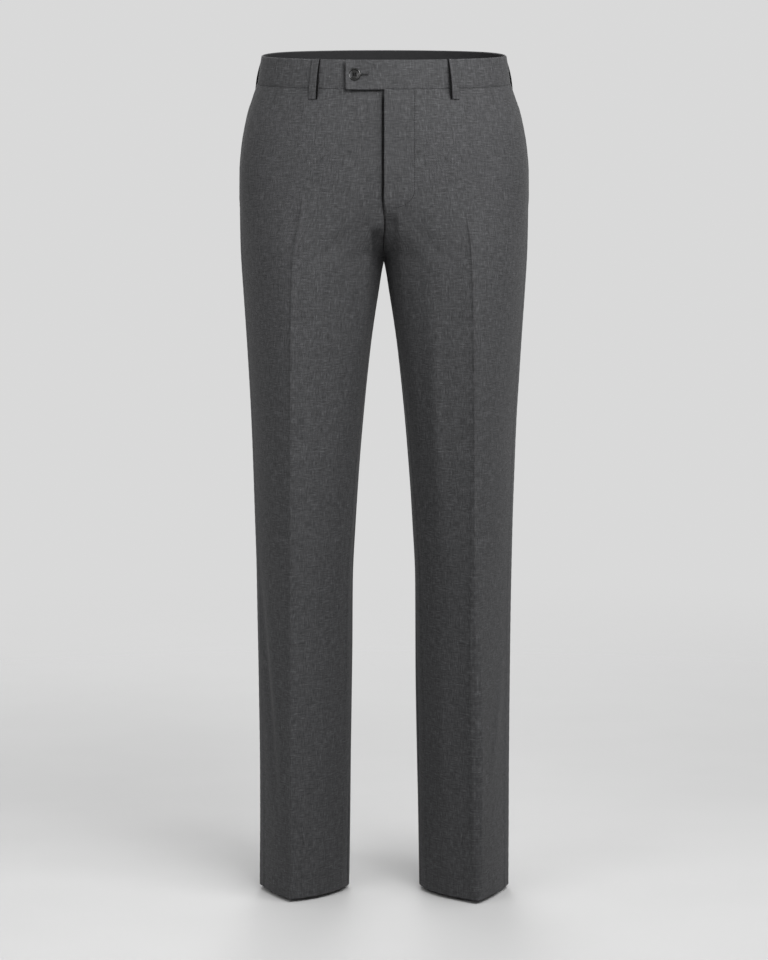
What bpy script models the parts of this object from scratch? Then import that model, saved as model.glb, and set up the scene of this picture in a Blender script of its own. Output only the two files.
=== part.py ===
"""Flat-front dress trousers, hollow and filled out, as they hang from a waist.

Each leg is a closed section of cloth from the side seam round to the inseam, pressed to a
crease in front and behind. Above the fork the legs run together: each half of a section is
cut at the middle plane and passes into half of an oval, the hips and the waist. The sections
come from two short tables, and every piece is a wall on the surface that they give. A piece
that lies on another one is made from the same surface, moved out or in.

Frame: metres, +Z up. The front faces -Y, and the wearer's left is +X. The origin is the
middle of the waist opening, half way up the waistband. The tables and sizes are in
millimetres, with heights counted up from the hems.
"""

import math
from typing import NamedTuple

import bmesh
import bpy
import numpy as np

MM = 0.001

# Driving sizes, mm.
WAIST_SEAM = 1008.0  # height of the waist seam at the side seams
BAND_HEIGHT = 35.0  # waistband, seam to top edge
FORK = 791.0  # height where the legs part: the inside leg
HIP = 900.0  # from here up a section is a plain oval
FLY_END = 851.0  # height of the foot of the fly
CLOTH = 1.5  # wall of the cloth
FACING = 1.0  # wall of the waistband's facing
FACING_FOOT = 1.0  # the facing starts this far above the waist seam
FACING_TOP = 2.0  # and stops this far below the waistband's top edge
SEAM_GAP = 0.3  # between two pieces that are sewn together

BAND_TOP = WAIST_SEAM + BAND_HEIGHT
HOLD_HEIGHT = WAIST_SEAM + BAND_HEIGHT / 2  # the origin's height above the hems
LAYER = CLOTH + SEAM_GAP  # how far a piece moves to lie on another

# Fly and waist tab: the left front laps over the right one.
FLY_LAP = 1.0  # how far the fly's edge passes the middle line
FLY_RISE = 14.0  # height over which the left front rises, and then over which it laps
LIFT_FULL = 20.0  # the left front is fully raised up to here from the middle line
LIFT_END = 60.0  # and lies flush from here on
TAB_REACH = 45.7  # the tab's end, past the middle line
UNDERLAP = 18.0  # how far the right waistband runs under the left one
SHIELD_LEFT = 34.0  # the fly shield's reach under the left front
SHIELD_RIGHT = 8.0  # its seam allowance behind the right front
SHIELD_FOOT = 7.0  # its lower end above the foot of the fly

# Belt loops.
LOOP_WIDTH = 9.5
LOOP_THICK = 1.5
LOOP_DROP = 13.0  # how far a loop reaches below the waist seam
LOOP_RISE = 0.5  # how far its fold stands above the waistband
LOOP_BOW = 2.0  # how far it stands off the straight line between its two ends
SIDE_LOOP = 0.20  # station of the side loops, a little behind the side seams

# Waist button.
BUTTON_X = -35.0
BUTTON_RADIUS = 7.2
BUTTON_THICK = 3.0
BUTTON_RIM = 1.5  # width of the raised rim
BUTTON_DISH = 0.9  # depth of the dished middle
BUTTON_UNDERCUT = 1.2  # the underside is this much smaller all round
BUTTON_UNDERCUT_HEIGHT = 1.0
BUTTON_BEVEL = (0.6, 0.9)  # the outer edge's bevel, across and down

# The pressed creases don't lie quite alike: the wearer's left one is nearer the middle.
CREASE_SHIFT = 2.2

LEFT, RIGHT = 1, -1
FRONT, BACK = "front", "back"


class Leg(NamedTuple):
    """Section of a leg. Past the middle plane, inner is cut off there."""

    height: float  # above the hem
    outer: float  # x of the side seam
    inner: float  # x of the innermost point
    crease: float  # x of the creases
    front: float  # y of the front crease
    back: float  # y of the back crease
    side_y: float  # y of the side seam
    inner_y: float  # y of the innermost point
    forward: float  # the inseam's distance in front of the innermost point
    fold: float  # sharpness of the creases, 0 rounded to 1 pressed
    side_turn: float  # 0.5 turns at the side as an ellipse does, 1 as a fold
    inner_turn: float  # the same at the innermost point


LEG_TABLE = [
    # height outer  inner  crease front  back side_y inner_y forward fold side  inner
    Leg(0, 157.4, 45.0, 113.4, -82, 83, 1, 2, 12, 0.50, 0.86, 0.62),
    Leg(140, 156.9, 42.8, 113.0, -85, 86, 1, 2, 12, 0.50, 0.80, 0.60),
    Leg(300, 158.3, 40.3, 112.6, -89, 90, 1, 2, 12, 0.50, 0.72, 0.56),
    Leg(390, 159.6, 39.6, 112.3, -93, 93, 2, 3, 12, 0.50, 0.67, 0.53),
    Leg(460, 161.2, 36.2, 112.0, -96, 96, 2, 3, 12, 0.48, 0.64, 0.50),
    Leg(560, 164.2, 29.4, 111.7, -101, 103, 2, 4, 11, 0.42, 0.62, 0.45),
    Leg(680, 170.5, 17.5, 110.8, -105, 113, 3, 4, 8, 0.32, 0.61, 0.38),
    Leg(750, 175.0, 7.3, 109.6, -107, 122, 4, 5, 4, 0.22, 0.60, 0.32),
    Leg(791, 177.6, 0.0, 108.0, -108, 127, 4, 5, 0, 0.14, 0.60, 0.29),
    Leg(797, 177.9, -2.2, 107.6, -108, 127.6, 4, 5, 0, 0.12, 0.60, 0.29),
    Leg(811, 178.4, -17, 106.2, -108, 128.5, 4, 5, 0, 0.08, 0.60, 0.29),
    Leg(831, 178.8, -60, 103.0, -108, 129.3, 4, 5, 0, 0.02, 0.60, 0.30),
    Leg(851, 178.9, -130, 99.6, -108, 129.6, 4, 5, 0, 0, 0.60, 0.32),
    Leg(900, 178.5, -420, 95.4, -108, 129, 3, 4, 0, 0, 0.60, 0.36),
]


class Body(NamedTuple):
    """Oval section of the hips and the waist."""

    height: float  # above the hems, at the side seam
    half_width: float
    crease: float  # x of the creases' line, which carries on to the belt loops
    front: float  # y at the middle of the front
    back: float  # y at the middle of the back
    side_y: float  # y of the side seam
    front_square: float  # 2 is an ellipse, more is squarer
    back_square: float
    tilt: float  # rise per mm towards the back


BODY_TABLE = [
    # height half_width crease front back side_y front_square back_square tilt
    Body(FORK, 177.6, 108.0, -109, 138, 4, 2.75, 2.5, 0.000),
    Body(851, 178.9, 99.6, -111, 143, 4, 2.75, 2.5, 0.010),
    Body(HIP, 178.5, 95.4, -112, 141, 3, 2.7, 2.5, 0.040),
    Body(930, 176.0, 92.6, -112, 136, 2, 2.6, 2.45, 0.066),
    Body(960, 170.7, 90.0, -111.5, 128, 1, 2.45, 2.35, 0.092),
    Body(985, 164.2, 87.6, -110.5, 119.5, 0, 2.3, 2.25, 0.108),
    Body(WAIST_SEAM, 156.4, 85.3, -108.5, 111, 0, 2.15, 2.15, 0.115),
]
BODY_TOP = Body(BAND_TOP, 151.3, 82.0, -105, 105, 0, 2.15, 2.15, 0.113)

# Rows and columns of the pieces.
LEG_ROWS = [0, 35, 80, 140, 200, 260, 320, 390, 430, 470, 520, 575, 630, 680, 720, 750, 772]
FORK_STEPS = 8  # rows from the fork to the foot of the fly
HIP_ROWS = [866, 880, 900, 918, 936, 954, 970, 985, 997]
OUTER_COLUMNS = 5
INNER_COLUMNS = 7
BACK_BAND_STATIONS = (2, 1.75, 1.5, 1.25, 1, 0.75, 0.5, 0.25)
FRONT_BAND_STATIONS = (0, 0.25, 0.5, 0.75, 1, 1.25)
BAND_ROWS = 2
TAB_STEP = 15.0  # widest column of the tab
SHIELD_ROWS = 6
SHIELD_COLUMNS = 3
LOOP_STEPS = 8
BUTTON_SIDES = 20
CURVE_STEPS = 64  # along a quarter of a section, before the pieces' own columns are read from it
FRONT_STEPS = 40  # steps that turn a distance from the middle into a station
SHARP_EDGE = 40  # degrees: flatter edges are shaded smooth


def smooth_step(low, high, value):
    """0 below low, 1 above high, and a smooth rise between."""
    t = min(max((value - low) / (high - low), 0.0), 1.0)
    return t * t * (3 - 2 * t)


def monotone_slopes(x, y):
    """Slopes of a smooth curve through points that never overshoots them."""
    width = np.diff(x)
    rise = np.diff(y) / width
    slopes = np.zeros(len(y))
    slopes[0], slopes[-1] = rise[0], rise[-1]
    for i in range(1, len(y) - 1):
        if rise[i - 1] * rise[i] > 0:
            before = 2 * width[i] + width[i - 1]
            after = width[i] + 2 * width[i - 1]
            slopes[i] = (before + after) / (before / rise[i - 1] + after / rise[i])
    return slopes


class Table:
    """Rows of one kind of section, read at any height between them."""

    def __init__(self, rows):
        self.kind = type(rows[0])
        self.columns = np.array(rows, dtype=float).T
        self.slopes = [monotone_slopes(self.columns[0], column) for column in self.columns]

    def at(self, height):
        """The section at a height, each column on its own smooth curve."""
        x = self.columns[0]
        i = int(np.clip(np.searchsorted(x, height) - 1, 0, len(x) - 2))
        span = x[i + 1] - x[i]
        t = min(max((height - x[i]) / span, 0.0), 1.0)
        past = 3 * t**2 - 2 * t**3
        leave, arrive = (t**3 - 2 * t**2 + t) * span, (t**3 - t**2) * span
        values = [
            (1 - past) * y[i] + leave * m[i] + past * y[i + 1] + arrive * m[i + 1]
            for y, m in zip(self.columns, self.slopes)
        ]
        return self.kind(*values)


LEGS = Table(LEG_TABLE)
BODIES = Table(BODY_TABLE)
TURN = np.linspace(0, math.pi / 2, CURVE_STEPS + 1)  # a quarter turn


def body_section(height):
    """The oval at a height. The waistband is a plain cone above its seam."""
    if height <= WAIST_SEAM:
        return BODIES.at(height)
    t = (height - WAIST_SEAM) / BAND_HEIGHT
    return Body(*(low + (high - low) * t for low, high in zip(BODY_TABLE[-1], BODY_TOP)))


def leg_quarters(side, face, height):
    """A leg's half section as two curves: side seam to crease, crease to the inner end."""
    leg = LEGS.at(height)
    blend = 1 - smooth_step(FORK, HIP, height)
    crease = leg.crease - side * CREASE_SHIFT * blend
    depth = leg.front if face == FRONT else leg.back

    def profile(reach, turn):
        return np.maximum(1 - leg.fold * reach - (1 - leg.fold) * reach**2, 0) ** turn

    reach = np.cos(TURN)
    across = crease + (leg.outer - crease) * reach
    along = leg.side_y + (depth - leg.side_y) * profile(reach, leg.side_turn)
    outer = np.stack([across, along], 1)
    span = crease - leg.inner
    reach = np.sin(TURN * math.asin(min(1.0, crease / span)) / TURN[-1])
    across = crease - span * reach
    along = leg.inner_y + (depth - leg.inner_y) * profile(reach, leg.inner_turn)
    return outer, np.stack([across, along], 1)


def body_quarters(face, height):
    """Half of an oval's front or back as two curves that part at the crease's line."""
    body = body_section(height)
    depth, square = (body.front, body.front_square)
    if face == BACK:
        depth, square = (body.back, body.back_square)
    part = math.acos((body.crease / body.half_width) ** (square / 2))
    curves = []
    for start, end in ((0, part), (part, math.pi / 2)):
        angle = start + (end - start) * TURN / TURN[-1]
        across = body.half_width * np.abs(np.cos(angle)) ** (2 / square)
        along = body.side_y + (depth - body.side_y) * np.sin(angle) ** (2 / square)
        curves.append(np.stack([across, along], 1))
    return curves


def along_curve(curve, start, end, fractions):
    """Values at fractions of a curve's length, between start mm from its head and end mm from its foot.

    A curve's first two columns are x and y. The others, such as its normals, are read there too.
    """
    length = np.concatenate([[0], np.cumsum(np.linalg.norm(np.diff(curve[:, :2], axis=0), axis=1))])
    wanted = start + (length[-1] - end - start) * np.asarray(fractions, dtype=float)
    return np.stack([np.interp(wanted, length, column) for column in curve.T], 1)


def half_curves(side, face, height):
    """Half a section as two dense curves that meet at the crease.

    Their columns are x, y and the outward normal's x and y.
    """
    weight = smooth_step(FORK, HIP, height)
    even = TURN / TURN[-1]
    legs = [along_curve(curve, 0, 0, even) for curve in leg_quarters(side, face, height)]
    bodies = [along_curve(curve, 0, 0, even) for curve in body_quarters(face, max(height, FORK))]
    curves = []
    for leg, body in zip(legs, bodies):
        points = (1 - weight) * leg + weight * body
        tangents = np.gradient(points, axis=0)
        turn = 1 if face == FRONT else -1
        normals = np.stack([-tangents[:, 1], tangents[:, 0]], 1) * turn
        normals /= np.linalg.norm(normals, axis=1, keepdims=True)
        curves.append(np.concatenate([points, normals], 1))
    outer, inner = curves
    outer[0, 2:] = (1, 0)  # front and back meet on a mitre at the side seam
    both = outer[-1, 2:] + inner[0, 2:]
    outer[-1, 2:] = inner[0, 2:] = both / np.linalg.norm(both)
    return outer, inner


def half_section(side, face, height, stations, gap=SEAM_GAP / 2):
    """Points and outward normals of one half of a section.

    Stations run from 0 at the side seam over 1 at the crease to 2 at the inseam or the middle line.
    """
    stations = np.asarray(stations, dtype=float)
    outer, inner = half_curves(side, face, height)
    end = gap
    forward = LEGS.at(height).forward if height < FORK else 0.0
    if face == FRONT:
        end += forward
    elif forward > 0:  # the back goes on round the innermost point as far as the inseam
        wrap = half_curves(side, FRONT, height)[1][::-1]
        inner = np.concatenate([inner, wrap[1:]])
        end += np.linalg.norm(np.diff(wrap[:, :2], axis=0), axis=1).sum() - forward
    on_outer = stations <= 1
    values = np.zeros((len(stations), 4))
    values[on_outer] = along_curve(outer, gap, 0, stations[on_outer])
    values[~on_outer] = along_curve(inner, 0, end, stations[~on_outer] - 1)
    x, y, across, along = values.T
    tilt = body_section(max(height, FORK)).tilt
    points = np.stack([side * x, y, height + tilt * y], 1)
    return points, np.stack([side * across, along, 0 * x], 1)


def section_point(side, face, height, station, gap=SEAM_GAP / 2):
    """The point and the normal at one station."""
    points, normals = half_section(side, face, height, [station], gap)
    return points[0], normals[0]


def front_point(height, x):
    """The point and the normal of the front, inside the creases, x mm to the left of the middle."""
    side = LEFT if x >= 0 else RIGHT
    stations = np.linspace(2, 1, FRONT_STEPS + 1)
    reach = side * half_section(side, FRONT, height, stations, gap=0)[0][:, 0]
    return section_point(side, FRONT, height, float(np.interp(abs(x), reach, stations)), gap=0)


def panel_rows():
    """Heights of a panel's rows at its crease and at its inner edge.

    Between the fork and the foot of the fly the rows sink towards the inner edge, so that the
    edge has rows enough where the fork turns under.
    """
    rows = [(height, height) for height in LEG_ROWS]
    rise = FLY_END - FORK
    for step in range(FORK_STEPS + 1):
        t = step / FORK_STEPS
        rows.append((FORK + rise * t, FORK + rise * t**2))
    rows += [(height, height) for height in HIP_ROWS]
    top = WAIST_SEAM - SEAM_GAP / 2
    return rows + [(top, top)]


def panel_grid(side, face):
    """Points and normals of a front or a back, from the side seam to the inner edge."""
    outer = np.linspace(0, 1, OUTER_COLUMNS + 1)
    inner = np.linspace(1, 2, INNER_COLUMNS + 1)[1:]
    grid = []
    for crease_height, edge_height in panel_rows():
        points, normals = half_section(side, face, crease_height, np.concatenate([outer, inner]))
        if crease_height != edge_height:
            for column, station in enumerate(inner, start=len(outer)):
                height = crease_height + (edge_height - crease_height) * (station - 1) ** 2
                points[column], normals[column] = section_point(side, face, height, station)
        grid.append((points, normals))
    return np.swapaxes(np.array(grid), 0, 1)


def lift(x):
    """How far the left front and the left waistband are raised over what they lap."""
    return LAYER * (1 - smooth_step(LIFT_FULL, LIFT_END, x))


def raise_fly(points):
    """Raises the left front over the fly shield and laps its edge over the right front."""
    for row in points:
        raised = smooth_step(FLY_END - FLY_RISE / 2, FLY_END + FLY_RISE, row[-1][2])
        lapped = smooth_step(FLY_END + FLY_RISE, FLY_END + 2 * FLY_RISE, row[-1][2])
        for point in row:
            point[1] -= raised * lift(point[0])
        row[-1][0] -= lapped * (FLY_LAP + SEAM_GAP / 2)


def wall(name, finish, points, normals, start, thickness):
    """One closed body: a sheet from start mm outside a surface to thickness mm further in.

    Points are in mm above the hems.
    """
    rows, columns = points.shape[:2]
    mesh = bmesh.new()
    sheets = []
    for distance in (start, start - thickness):
        places = (points + normals * distance - np.array([0, 0, HOLD_HEIGHT])) * MM
        sheets.append([[mesh.verts.new(place) for place in row] for row in places])
    front, back = sheets
    for i in range(rows - 1):
        for j in range(columns - 1):
            mesh.faces.new((front[i][j], front[i][j + 1], front[i + 1][j + 1], front[i + 1][j]))
            mesh.faces.new((back[i][j], back[i + 1][j], back[i + 1][j + 1], back[i][j + 1]))
    rim = [(0, j) for j in range(columns)]
    rim += [(i, columns - 1) for i in range(1, rows)]
    rim += [(rows - 1, j) for j in reversed(range(columns - 1))]
    rim += [(i, 0) for i in reversed(range(1, rows - 1))]
    for (i, j), (k, m) in zip(rim, rim[1:] + rim[:1]):
        mesh.faces.new((front[i][j], back[i][j], back[k][m], front[k][m]))
    return finished(name, finish, mesh)


def finished(name, finish, mesh):
    """Closes a bmesh into a named object with outward faces and its material."""
    bmesh.ops.recalc_face_normals(mesh, faces=mesh.faces)
    data = bpy.data.meshes.new(name)
    mesh.to_mesh(data)
    mesh.free()
    data.shade_smooth()
    data.set_sharp_from_angle(angle=math.radians(SHARP_EDGE))
    data.materials.append(finish)
    piece = bpy.data.objects.new(name, data)
    bpy.context.scene.collection.objects.link(piece)
    return piece


def make_panel(name, finish, side, face):
    """A front or a back, from the waist seam to the hem."""
    points, normals = panel_grid(side, face)
    if side == LEFT and face == FRONT:
        raise_fly(points)
    return wall(name, finish, points, normals, 0, CLOTH)


def band_places(side, front_end):
    """The round of half a waistband as functions of height, from the middle of the back.

    It ends front_end mm past the middle line of the front, or before it where that is negative.
    """
    stations = [(BACK, station) for station in BACK_BAND_STATIONS]
    stations += [(FRONT, station) for station in FRONT_BAND_STATIONS]
    places = [lambda height, at=at: section_point(side, at[0], height, at[1]) for at in stations]
    ends = [x for x in (LIFT_END, (LIFT_FULL + LIFT_END) / 2, LIFT_FULL, 0.0) if front_end >= -x]
    if front_end > 0:
        steps = max(1, round(front_end / TAB_STEP))
        ends += [-front_end * step / steps for step in range(1, steps + 1)]
    elif ends[-1] > -front_end:
        ends.append(-front_end)
    return places + [lambda height, x=x: front_point(height, side * x) for x in ends]


def band_grid(side, front_end, low, high, rows):
    """Surface of half a waistband between two heights: its points and its normals."""
    places = band_places(side, front_end)
    grid = [[place(height) for place in places] for height in np.linspace(low, high, rows + 1)]
    return np.moveaxis(np.array(grid), 2, 0)


def make_band(name, finish, side, front_end):
    """Half of the waistband. The left half laps over the right one and ends in the tab."""
    points, normals = band_grid(side, front_end, WAIST_SEAM + SEAM_GAP / 2, BAND_TOP, BAND_ROWS)
    if side == LEFT:
        for point in points.reshape(-1, 3):
            if point[1] < 0:
                point[1] -= lift(point[0])
    return wall(name, finish, points, normals, 0, CLOTH)


def make_facing(name, finish, side, front_end):
    """The facing inside half of the waistband."""
    low, high = WAIST_SEAM + FACING_FOOT, BAND_TOP - FACING_TOP
    points, normals = band_grid(side, front_end, low, high, 1)
    return wall(name, finish, points, normals, -LAYER, FACING)


def make_fly_shield(finish):
    """The strip behind the fly, sewn to the right front and lying under the left one."""
    across = [-SHIELD_RIGHT] + list(np.linspace(0, SHIELD_LEFT, SHIELD_COLUMNS + 1))
    heights = np.linspace(FLY_END + SHIELD_FOOT, WAIST_SEAM - SEAM_GAP / 2, SHIELD_ROWS + 1)
    grid = [[front_point(height, x) for x in across] for height in heights]
    points, normals = np.moveaxis(np.array(grid), 2, 0)
    return wall("fly_shield", finish, points, normals, -LAYER, CLOTH)


def make_loop(name, finish, place):
    """A belt loop over the waistband. Place gives the cloth's point and normal on the loop's middle line.

    The loop is stitched down at its two ends, and spans straight between them with a slight bow.
    """
    ends = []
    for height in (WAIST_SEAM - LOOP_DROP, BAND_TOP):
        point, normal = place(height)
        ends.append((point + normal * (SEAM_GAP + LOOP_THICK), normal))
    (foot, normal), (head, _) = ends
    head = head + np.array([0, 0, LOOP_RISE])
    across = np.cross(normal, [0, 0, 1]) * LOOP_WIDTH / 2
    points, normals = [], []
    for step in range(LOOP_STEPS + 1):
        share = step / LOOP_STEPS
        point = foot + (head - foot) * share + normal * LOOP_BOW * math.sin(math.pi * share)
        points.append([point - across, point, point + across])
        normals.append([normal, normal, normal])
    return wall(name, finish, np.array(points), np.array(normals), 0, LOOP_THICK)


def crease_place(side):
    """A belt loop's middle line in front, over the crease."""
    return lambda height: section_point(side, FRONT, height, 1)


def side_place(side):
    """A belt loop's middle line at the side."""
    return lambda height: section_point(side, BACK, height, SIDE_LOOP)


def back_place(height):
    """A belt loop's middle line at the middle of the back."""
    return section_point(LEFT, BACK, height, 2, gap=0)[0], np.array([0, 1.0, 0])


def make_button(finish):
    """The waist button: a turned disc with a raised rim and a dished middle, flat on the tab."""
    here, axis = front_point(HOLD_HEIGHT, BUTTON_X)
    above = front_point(HOLD_HEIGHT + BUTTON_RADIUS, BUTTON_X)[0]
    across = np.cross([0, 0, 1.0], axis)
    upward = (above - here) / np.linalg.norm(above - here)
    axis = np.cross(across, upward)
    seat = here + axis * (LAYER + SEAM_GAP)
    dish = BUTTON_RADIUS - BUTTON_RIM
    outline = [  # radius and distance from the tab
        (BUTTON_RADIUS - BUTTON_UNDERCUT, 0.0),
        (BUTTON_RADIUS, BUTTON_UNDERCUT_HEIGHT),
        (BUTTON_RADIUS, BUTTON_THICK - BUTTON_BEVEL[1]),
        (BUTTON_RADIUS - BUTTON_BEVEL[0], BUTTON_THICK),
        (dish, BUTTON_THICK),
        (dish - BUTTON_DISH, BUTTON_THICK - BUTTON_DISH),
    ]
    mesh = bmesh.new()
    rings = []
    for radius, distance in outline:
        ring = []
        for step in range(BUTTON_SIDES):
            angle = 2 * math.pi * step / BUTTON_SIDES
            point = seat + axis * distance + (across * math.cos(angle) + upward * math.sin(angle)) * radius
            ring.append(mesh.verts.new((point - np.array([0, 0, HOLD_HEIGHT])) * MM))
        rings.append(ring)
    for low, high in zip(rings, rings[1:]):
        for j in range(BUTTON_SIDES):
            k = (j + 1) % BUTTON_SIDES
            mesh.faces.new((low[j], low[k], high[k], high[j]))
    mesh.faces.new(rings[0])
    mesh.faces.new(rings[-1])
    return finished("waist_button", finish, mesh)


def make_finish(name, colour, roughness):
    """A plain Principled material."""
    material = bpy.data.materials.new(name)
    material.use_nodes = True
    shader = material.node_tree.nodes["Principled BSDF"]
    shader.inputs["Base Color"].default_value = (*colour, 1.0)
    shader.inputs["Roughness"].default_value = roughness
    shader.inputs["Metallic"].default_value = 0.0
    return material


def clear_scene():
    """Removes the objects of the open scene."""
    for thing in list(bpy.data.objects):
        bpy.data.objects.remove(thing, do_unlink=True)


def main():
    """Builds every piece of the trousers under one empty."""
    clear_scene()
    worsted = make_finish("worsted", (0.085, 0.085, 0.088), 0.85)
    twill = make_finish("band_facing", (0.035, 0.035, 0.038), 0.9)
    horn = make_finish("button", (0.012, 0.012, 0.013), 0.3)
    pieces = []
    for side, hand in ((LEFT, "left"), (RIGHT, "right")):
        pieces.append(make_panel(f"front_{hand}", worsted, side, FRONT))
        pieces.append(make_panel(f"back_{hand}", worsted, side, BACK))
        reach = TAB_REACH if side == LEFT else UNDERLAP
        pieces.append(make_band(f"waistband_{hand}", worsted, side, reach))
        reach = -LIFT_FULL if side == LEFT else -SEAM_GAP
        pieces.append(make_facing(f"band_facing_{hand}", twill, side, reach))
        pieces.append(make_loop(f"belt_loop_front_{hand}", worsted, crease_place(side)))
        pieces.append(make_loop(f"belt_loop_side_{hand}", worsted, side_place(side)))
    pieces.append(make_loop("belt_loop_back", worsted, back_place))
    pieces.append(make_fly_shield(worsted))
    pieces.append(make_button(horn))
    trousers = bpy.data.objects.new("trousers", None)
    bpy.context.scene.collection.objects.link(trousers)
    for piece in pieces:
        piece.parent = trousers


main()
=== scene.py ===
"""Looks of the flat-front dress trousers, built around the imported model.

The cloth is modelled again on the surface that the solids have, in finer rows and columns,
with its seams, creases and folds as relief, and every other piece of the maker's list is
made on that surface. Sizes and heights are in millimetres and heights count up from the
hems, unless a name says otherwise. The frame's own units are metres, with +Z up, the front
towards -Y and the wearer's left at +X.
"""

from __future__ import annotations

import logging
import math
from dataclasses import dataclass
from enum import Enum
from typing import Callable, NamedTuple, Optional, Sequence, Union

import bpy
import numpy as np
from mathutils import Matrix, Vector
from mathutils.bvhtree import BVHTree


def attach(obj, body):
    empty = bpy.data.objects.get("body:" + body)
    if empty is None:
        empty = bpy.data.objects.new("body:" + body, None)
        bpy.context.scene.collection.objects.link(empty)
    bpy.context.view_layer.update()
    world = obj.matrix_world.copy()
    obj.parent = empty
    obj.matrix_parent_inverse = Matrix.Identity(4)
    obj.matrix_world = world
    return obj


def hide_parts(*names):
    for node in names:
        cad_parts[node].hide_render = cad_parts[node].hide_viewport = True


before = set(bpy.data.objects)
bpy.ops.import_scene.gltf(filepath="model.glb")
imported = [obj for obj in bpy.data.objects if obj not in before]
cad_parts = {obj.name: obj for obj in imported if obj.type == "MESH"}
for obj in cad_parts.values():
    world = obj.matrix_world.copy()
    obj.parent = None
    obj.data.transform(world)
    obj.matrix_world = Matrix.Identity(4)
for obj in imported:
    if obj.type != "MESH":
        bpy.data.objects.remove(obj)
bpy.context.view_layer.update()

log = logging.getLogger("trousers")

MM = 0.001
GRAIN_MAP = "grain"
Array = np.ndarray
Pair = tuple[Array, Array]  # mostly points and their normals
Place = Callable[[float], Pair]  # a point and its normal at a height
Piece = bpy.types.Object
Material = bpy.types.Material
Socket = bpy.types.NodeSocket
Span = tuple[float, float]
Amount = Union[float, Array]
Colour = tuple[float, float, float]
Value = Union[float, Sequence[float], Socket]  # what a node's input takes


class Named(Enum):
    """A choice whose name is part of the pieces' names."""

    @property
    def word(self) -> str:
        """The name as the pieces spell it."""
        return self.name.lower()


class Side(Named):
    """The wearer's side, as the sign of x."""

    LEFT = 1
    RIGHT = -1


class Face(Named):
    """Front or back of the trousers, as the sign of y."""

    FRONT = -1
    BACK = 1


# The cut: the same sections that the solids have.


@dataclass(frozen=True)
class Cut:
    """Driving sizes of the trousers."""

    waist_seam: float = 1008.0
    band_height: float = 35.0
    fork: float = 791.0
    hip: float = 900.0
    fly_end: float = 851.0
    # thickness of the cloth and of the facing, and the room between neighbours
    cloth: float = 1.5
    facing: float = 1.0
    gap: float = 0.3
    # both creases, moved towards the wearer's right
    crease_shift: float = 2.2
    # the legs' outer half is folded more sharply below these heights
    outer_fold: float = 0.16
    outer_fold_fade: Span = (300.0, 560.0)
    # the left crease drifts out towards its hem, and the left side seam is rounder
    drift: float = 2.4
    drift_fade: Span = (120.0, 330.0)
    side_round: float = 0.13
    side_round_from: Span = (20.0, 150.0)
    side_round_to: Span = (660.0, 780.0)
    # how far the button pulls the band in, over what width and height
    pull: float = 3.6
    pull_wide: float = 14.0
    pull_high: float = 12.0
    pull_outer_share: float = 0.65
    # the left front lies on the fly shield, fully up to lift_full from the middle
    fly_rise: float = 14.0
    fly_open: float = 22.0
    lift_full: float = 20.0
    lift_end: float = 60.0
    tab_reach: float = 45.7
    underlap: float = 18.0
    loop_width: float = 9.5
    loop_thick: float = 1.5
    loop_drop: float = 13.0
    loop_bow: float = 2.0
    side_loop: float = 0.20
    button_x: float = -35.0

    @property
    def band_top(self) -> float:
        """Height of the waistband's top edge at the sides."""
        return self.waist_seam + self.band_height

    @property
    def hold(self) -> float:
        """Height of the frame's origin above the hems."""
        return self.waist_seam + self.band_height / 2

    @property
    def layer(self) -> float:
        """How far a piece moves to lie on another."""
        return self.cloth + self.gap


CUT = Cut()


class Leg(NamedTuple):
    """Section of a leg. Past the middle plane, inner is cut off there."""

    height: float
    outer: float
    inner: float
    crease: float
    front: float
    back: float
    side_y: float
    inner_y: float
    forward: float
    fold: float
    side_turn: float
    inner_turn: float


LEG_TABLE = [
    # height outer  inner  crease front  back side_y inner_y forward fold side  inner
    Leg(0, 157.4, 45.0, 113.4, -82, 83, 1, 2, 12, 0.50, 0.86, 0.62),
    Leg(140, 156.9, 42.8, 113.0, -85, 86, 1, 2, 12, 0.50, 0.80, 0.60),
    Leg(300, 158.3, 40.3, 112.6, -89, 90, 1, 2, 12, 0.50, 0.72, 0.56),
    Leg(390, 159.6, 39.6, 112.3, -93, 93, 2, 3, 12, 0.50, 0.67, 0.53),
    Leg(460, 161.2, 36.2, 112.0, -96, 96, 2, 3, 12, 0.48, 0.64, 0.50),
    Leg(560, 164.2, 29.4, 111.7, -101, 103, 2, 4, 11, 0.42, 0.62, 0.45),
    Leg(680, 170.5, 17.5, 110.8, -105, 113, 3, 4, 8, 0.32, 0.61, 0.38),
    Leg(750, 175.0, 7.3, 109.6, -107, 122, 4, 5, 4, 0.22, 0.60, 0.32),
    Leg(791, 177.6, 0.0, 108.0, -108, 127, 4, 5, 0, 0.14, 0.60, 0.29),
    Leg(797, 177.9, -2.2, 107.6, -108, 127.6, 4, 5, 0, 0.12, 0.60, 0.29),
    Leg(811, 178.4, -17, 106.2, -108, 128.5, 4, 5, 0, 0.08, 0.60, 0.29),
    Leg(831, 178.8, -60, 103.0, -108, 129.3, 4, 5, 0, 0.02, 0.60, 0.30),
    Leg(851, 178.9, -130, 99.6, -108, 129.6, 4, 5, 0, 0, 0.60, 0.32),
    Leg(900, 178.5, -420, 95.4, -108, 129, 3, 4, 0, 0, 0.60, 0.36),
]


class Body(NamedTuple):
    """Oval section of the hips and the waist."""

    height: float
    half_width: float
    crease: float
    front: float
    back: float
    side_y: float
    front_square: float
    back_square: float
    tilt: float


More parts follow.
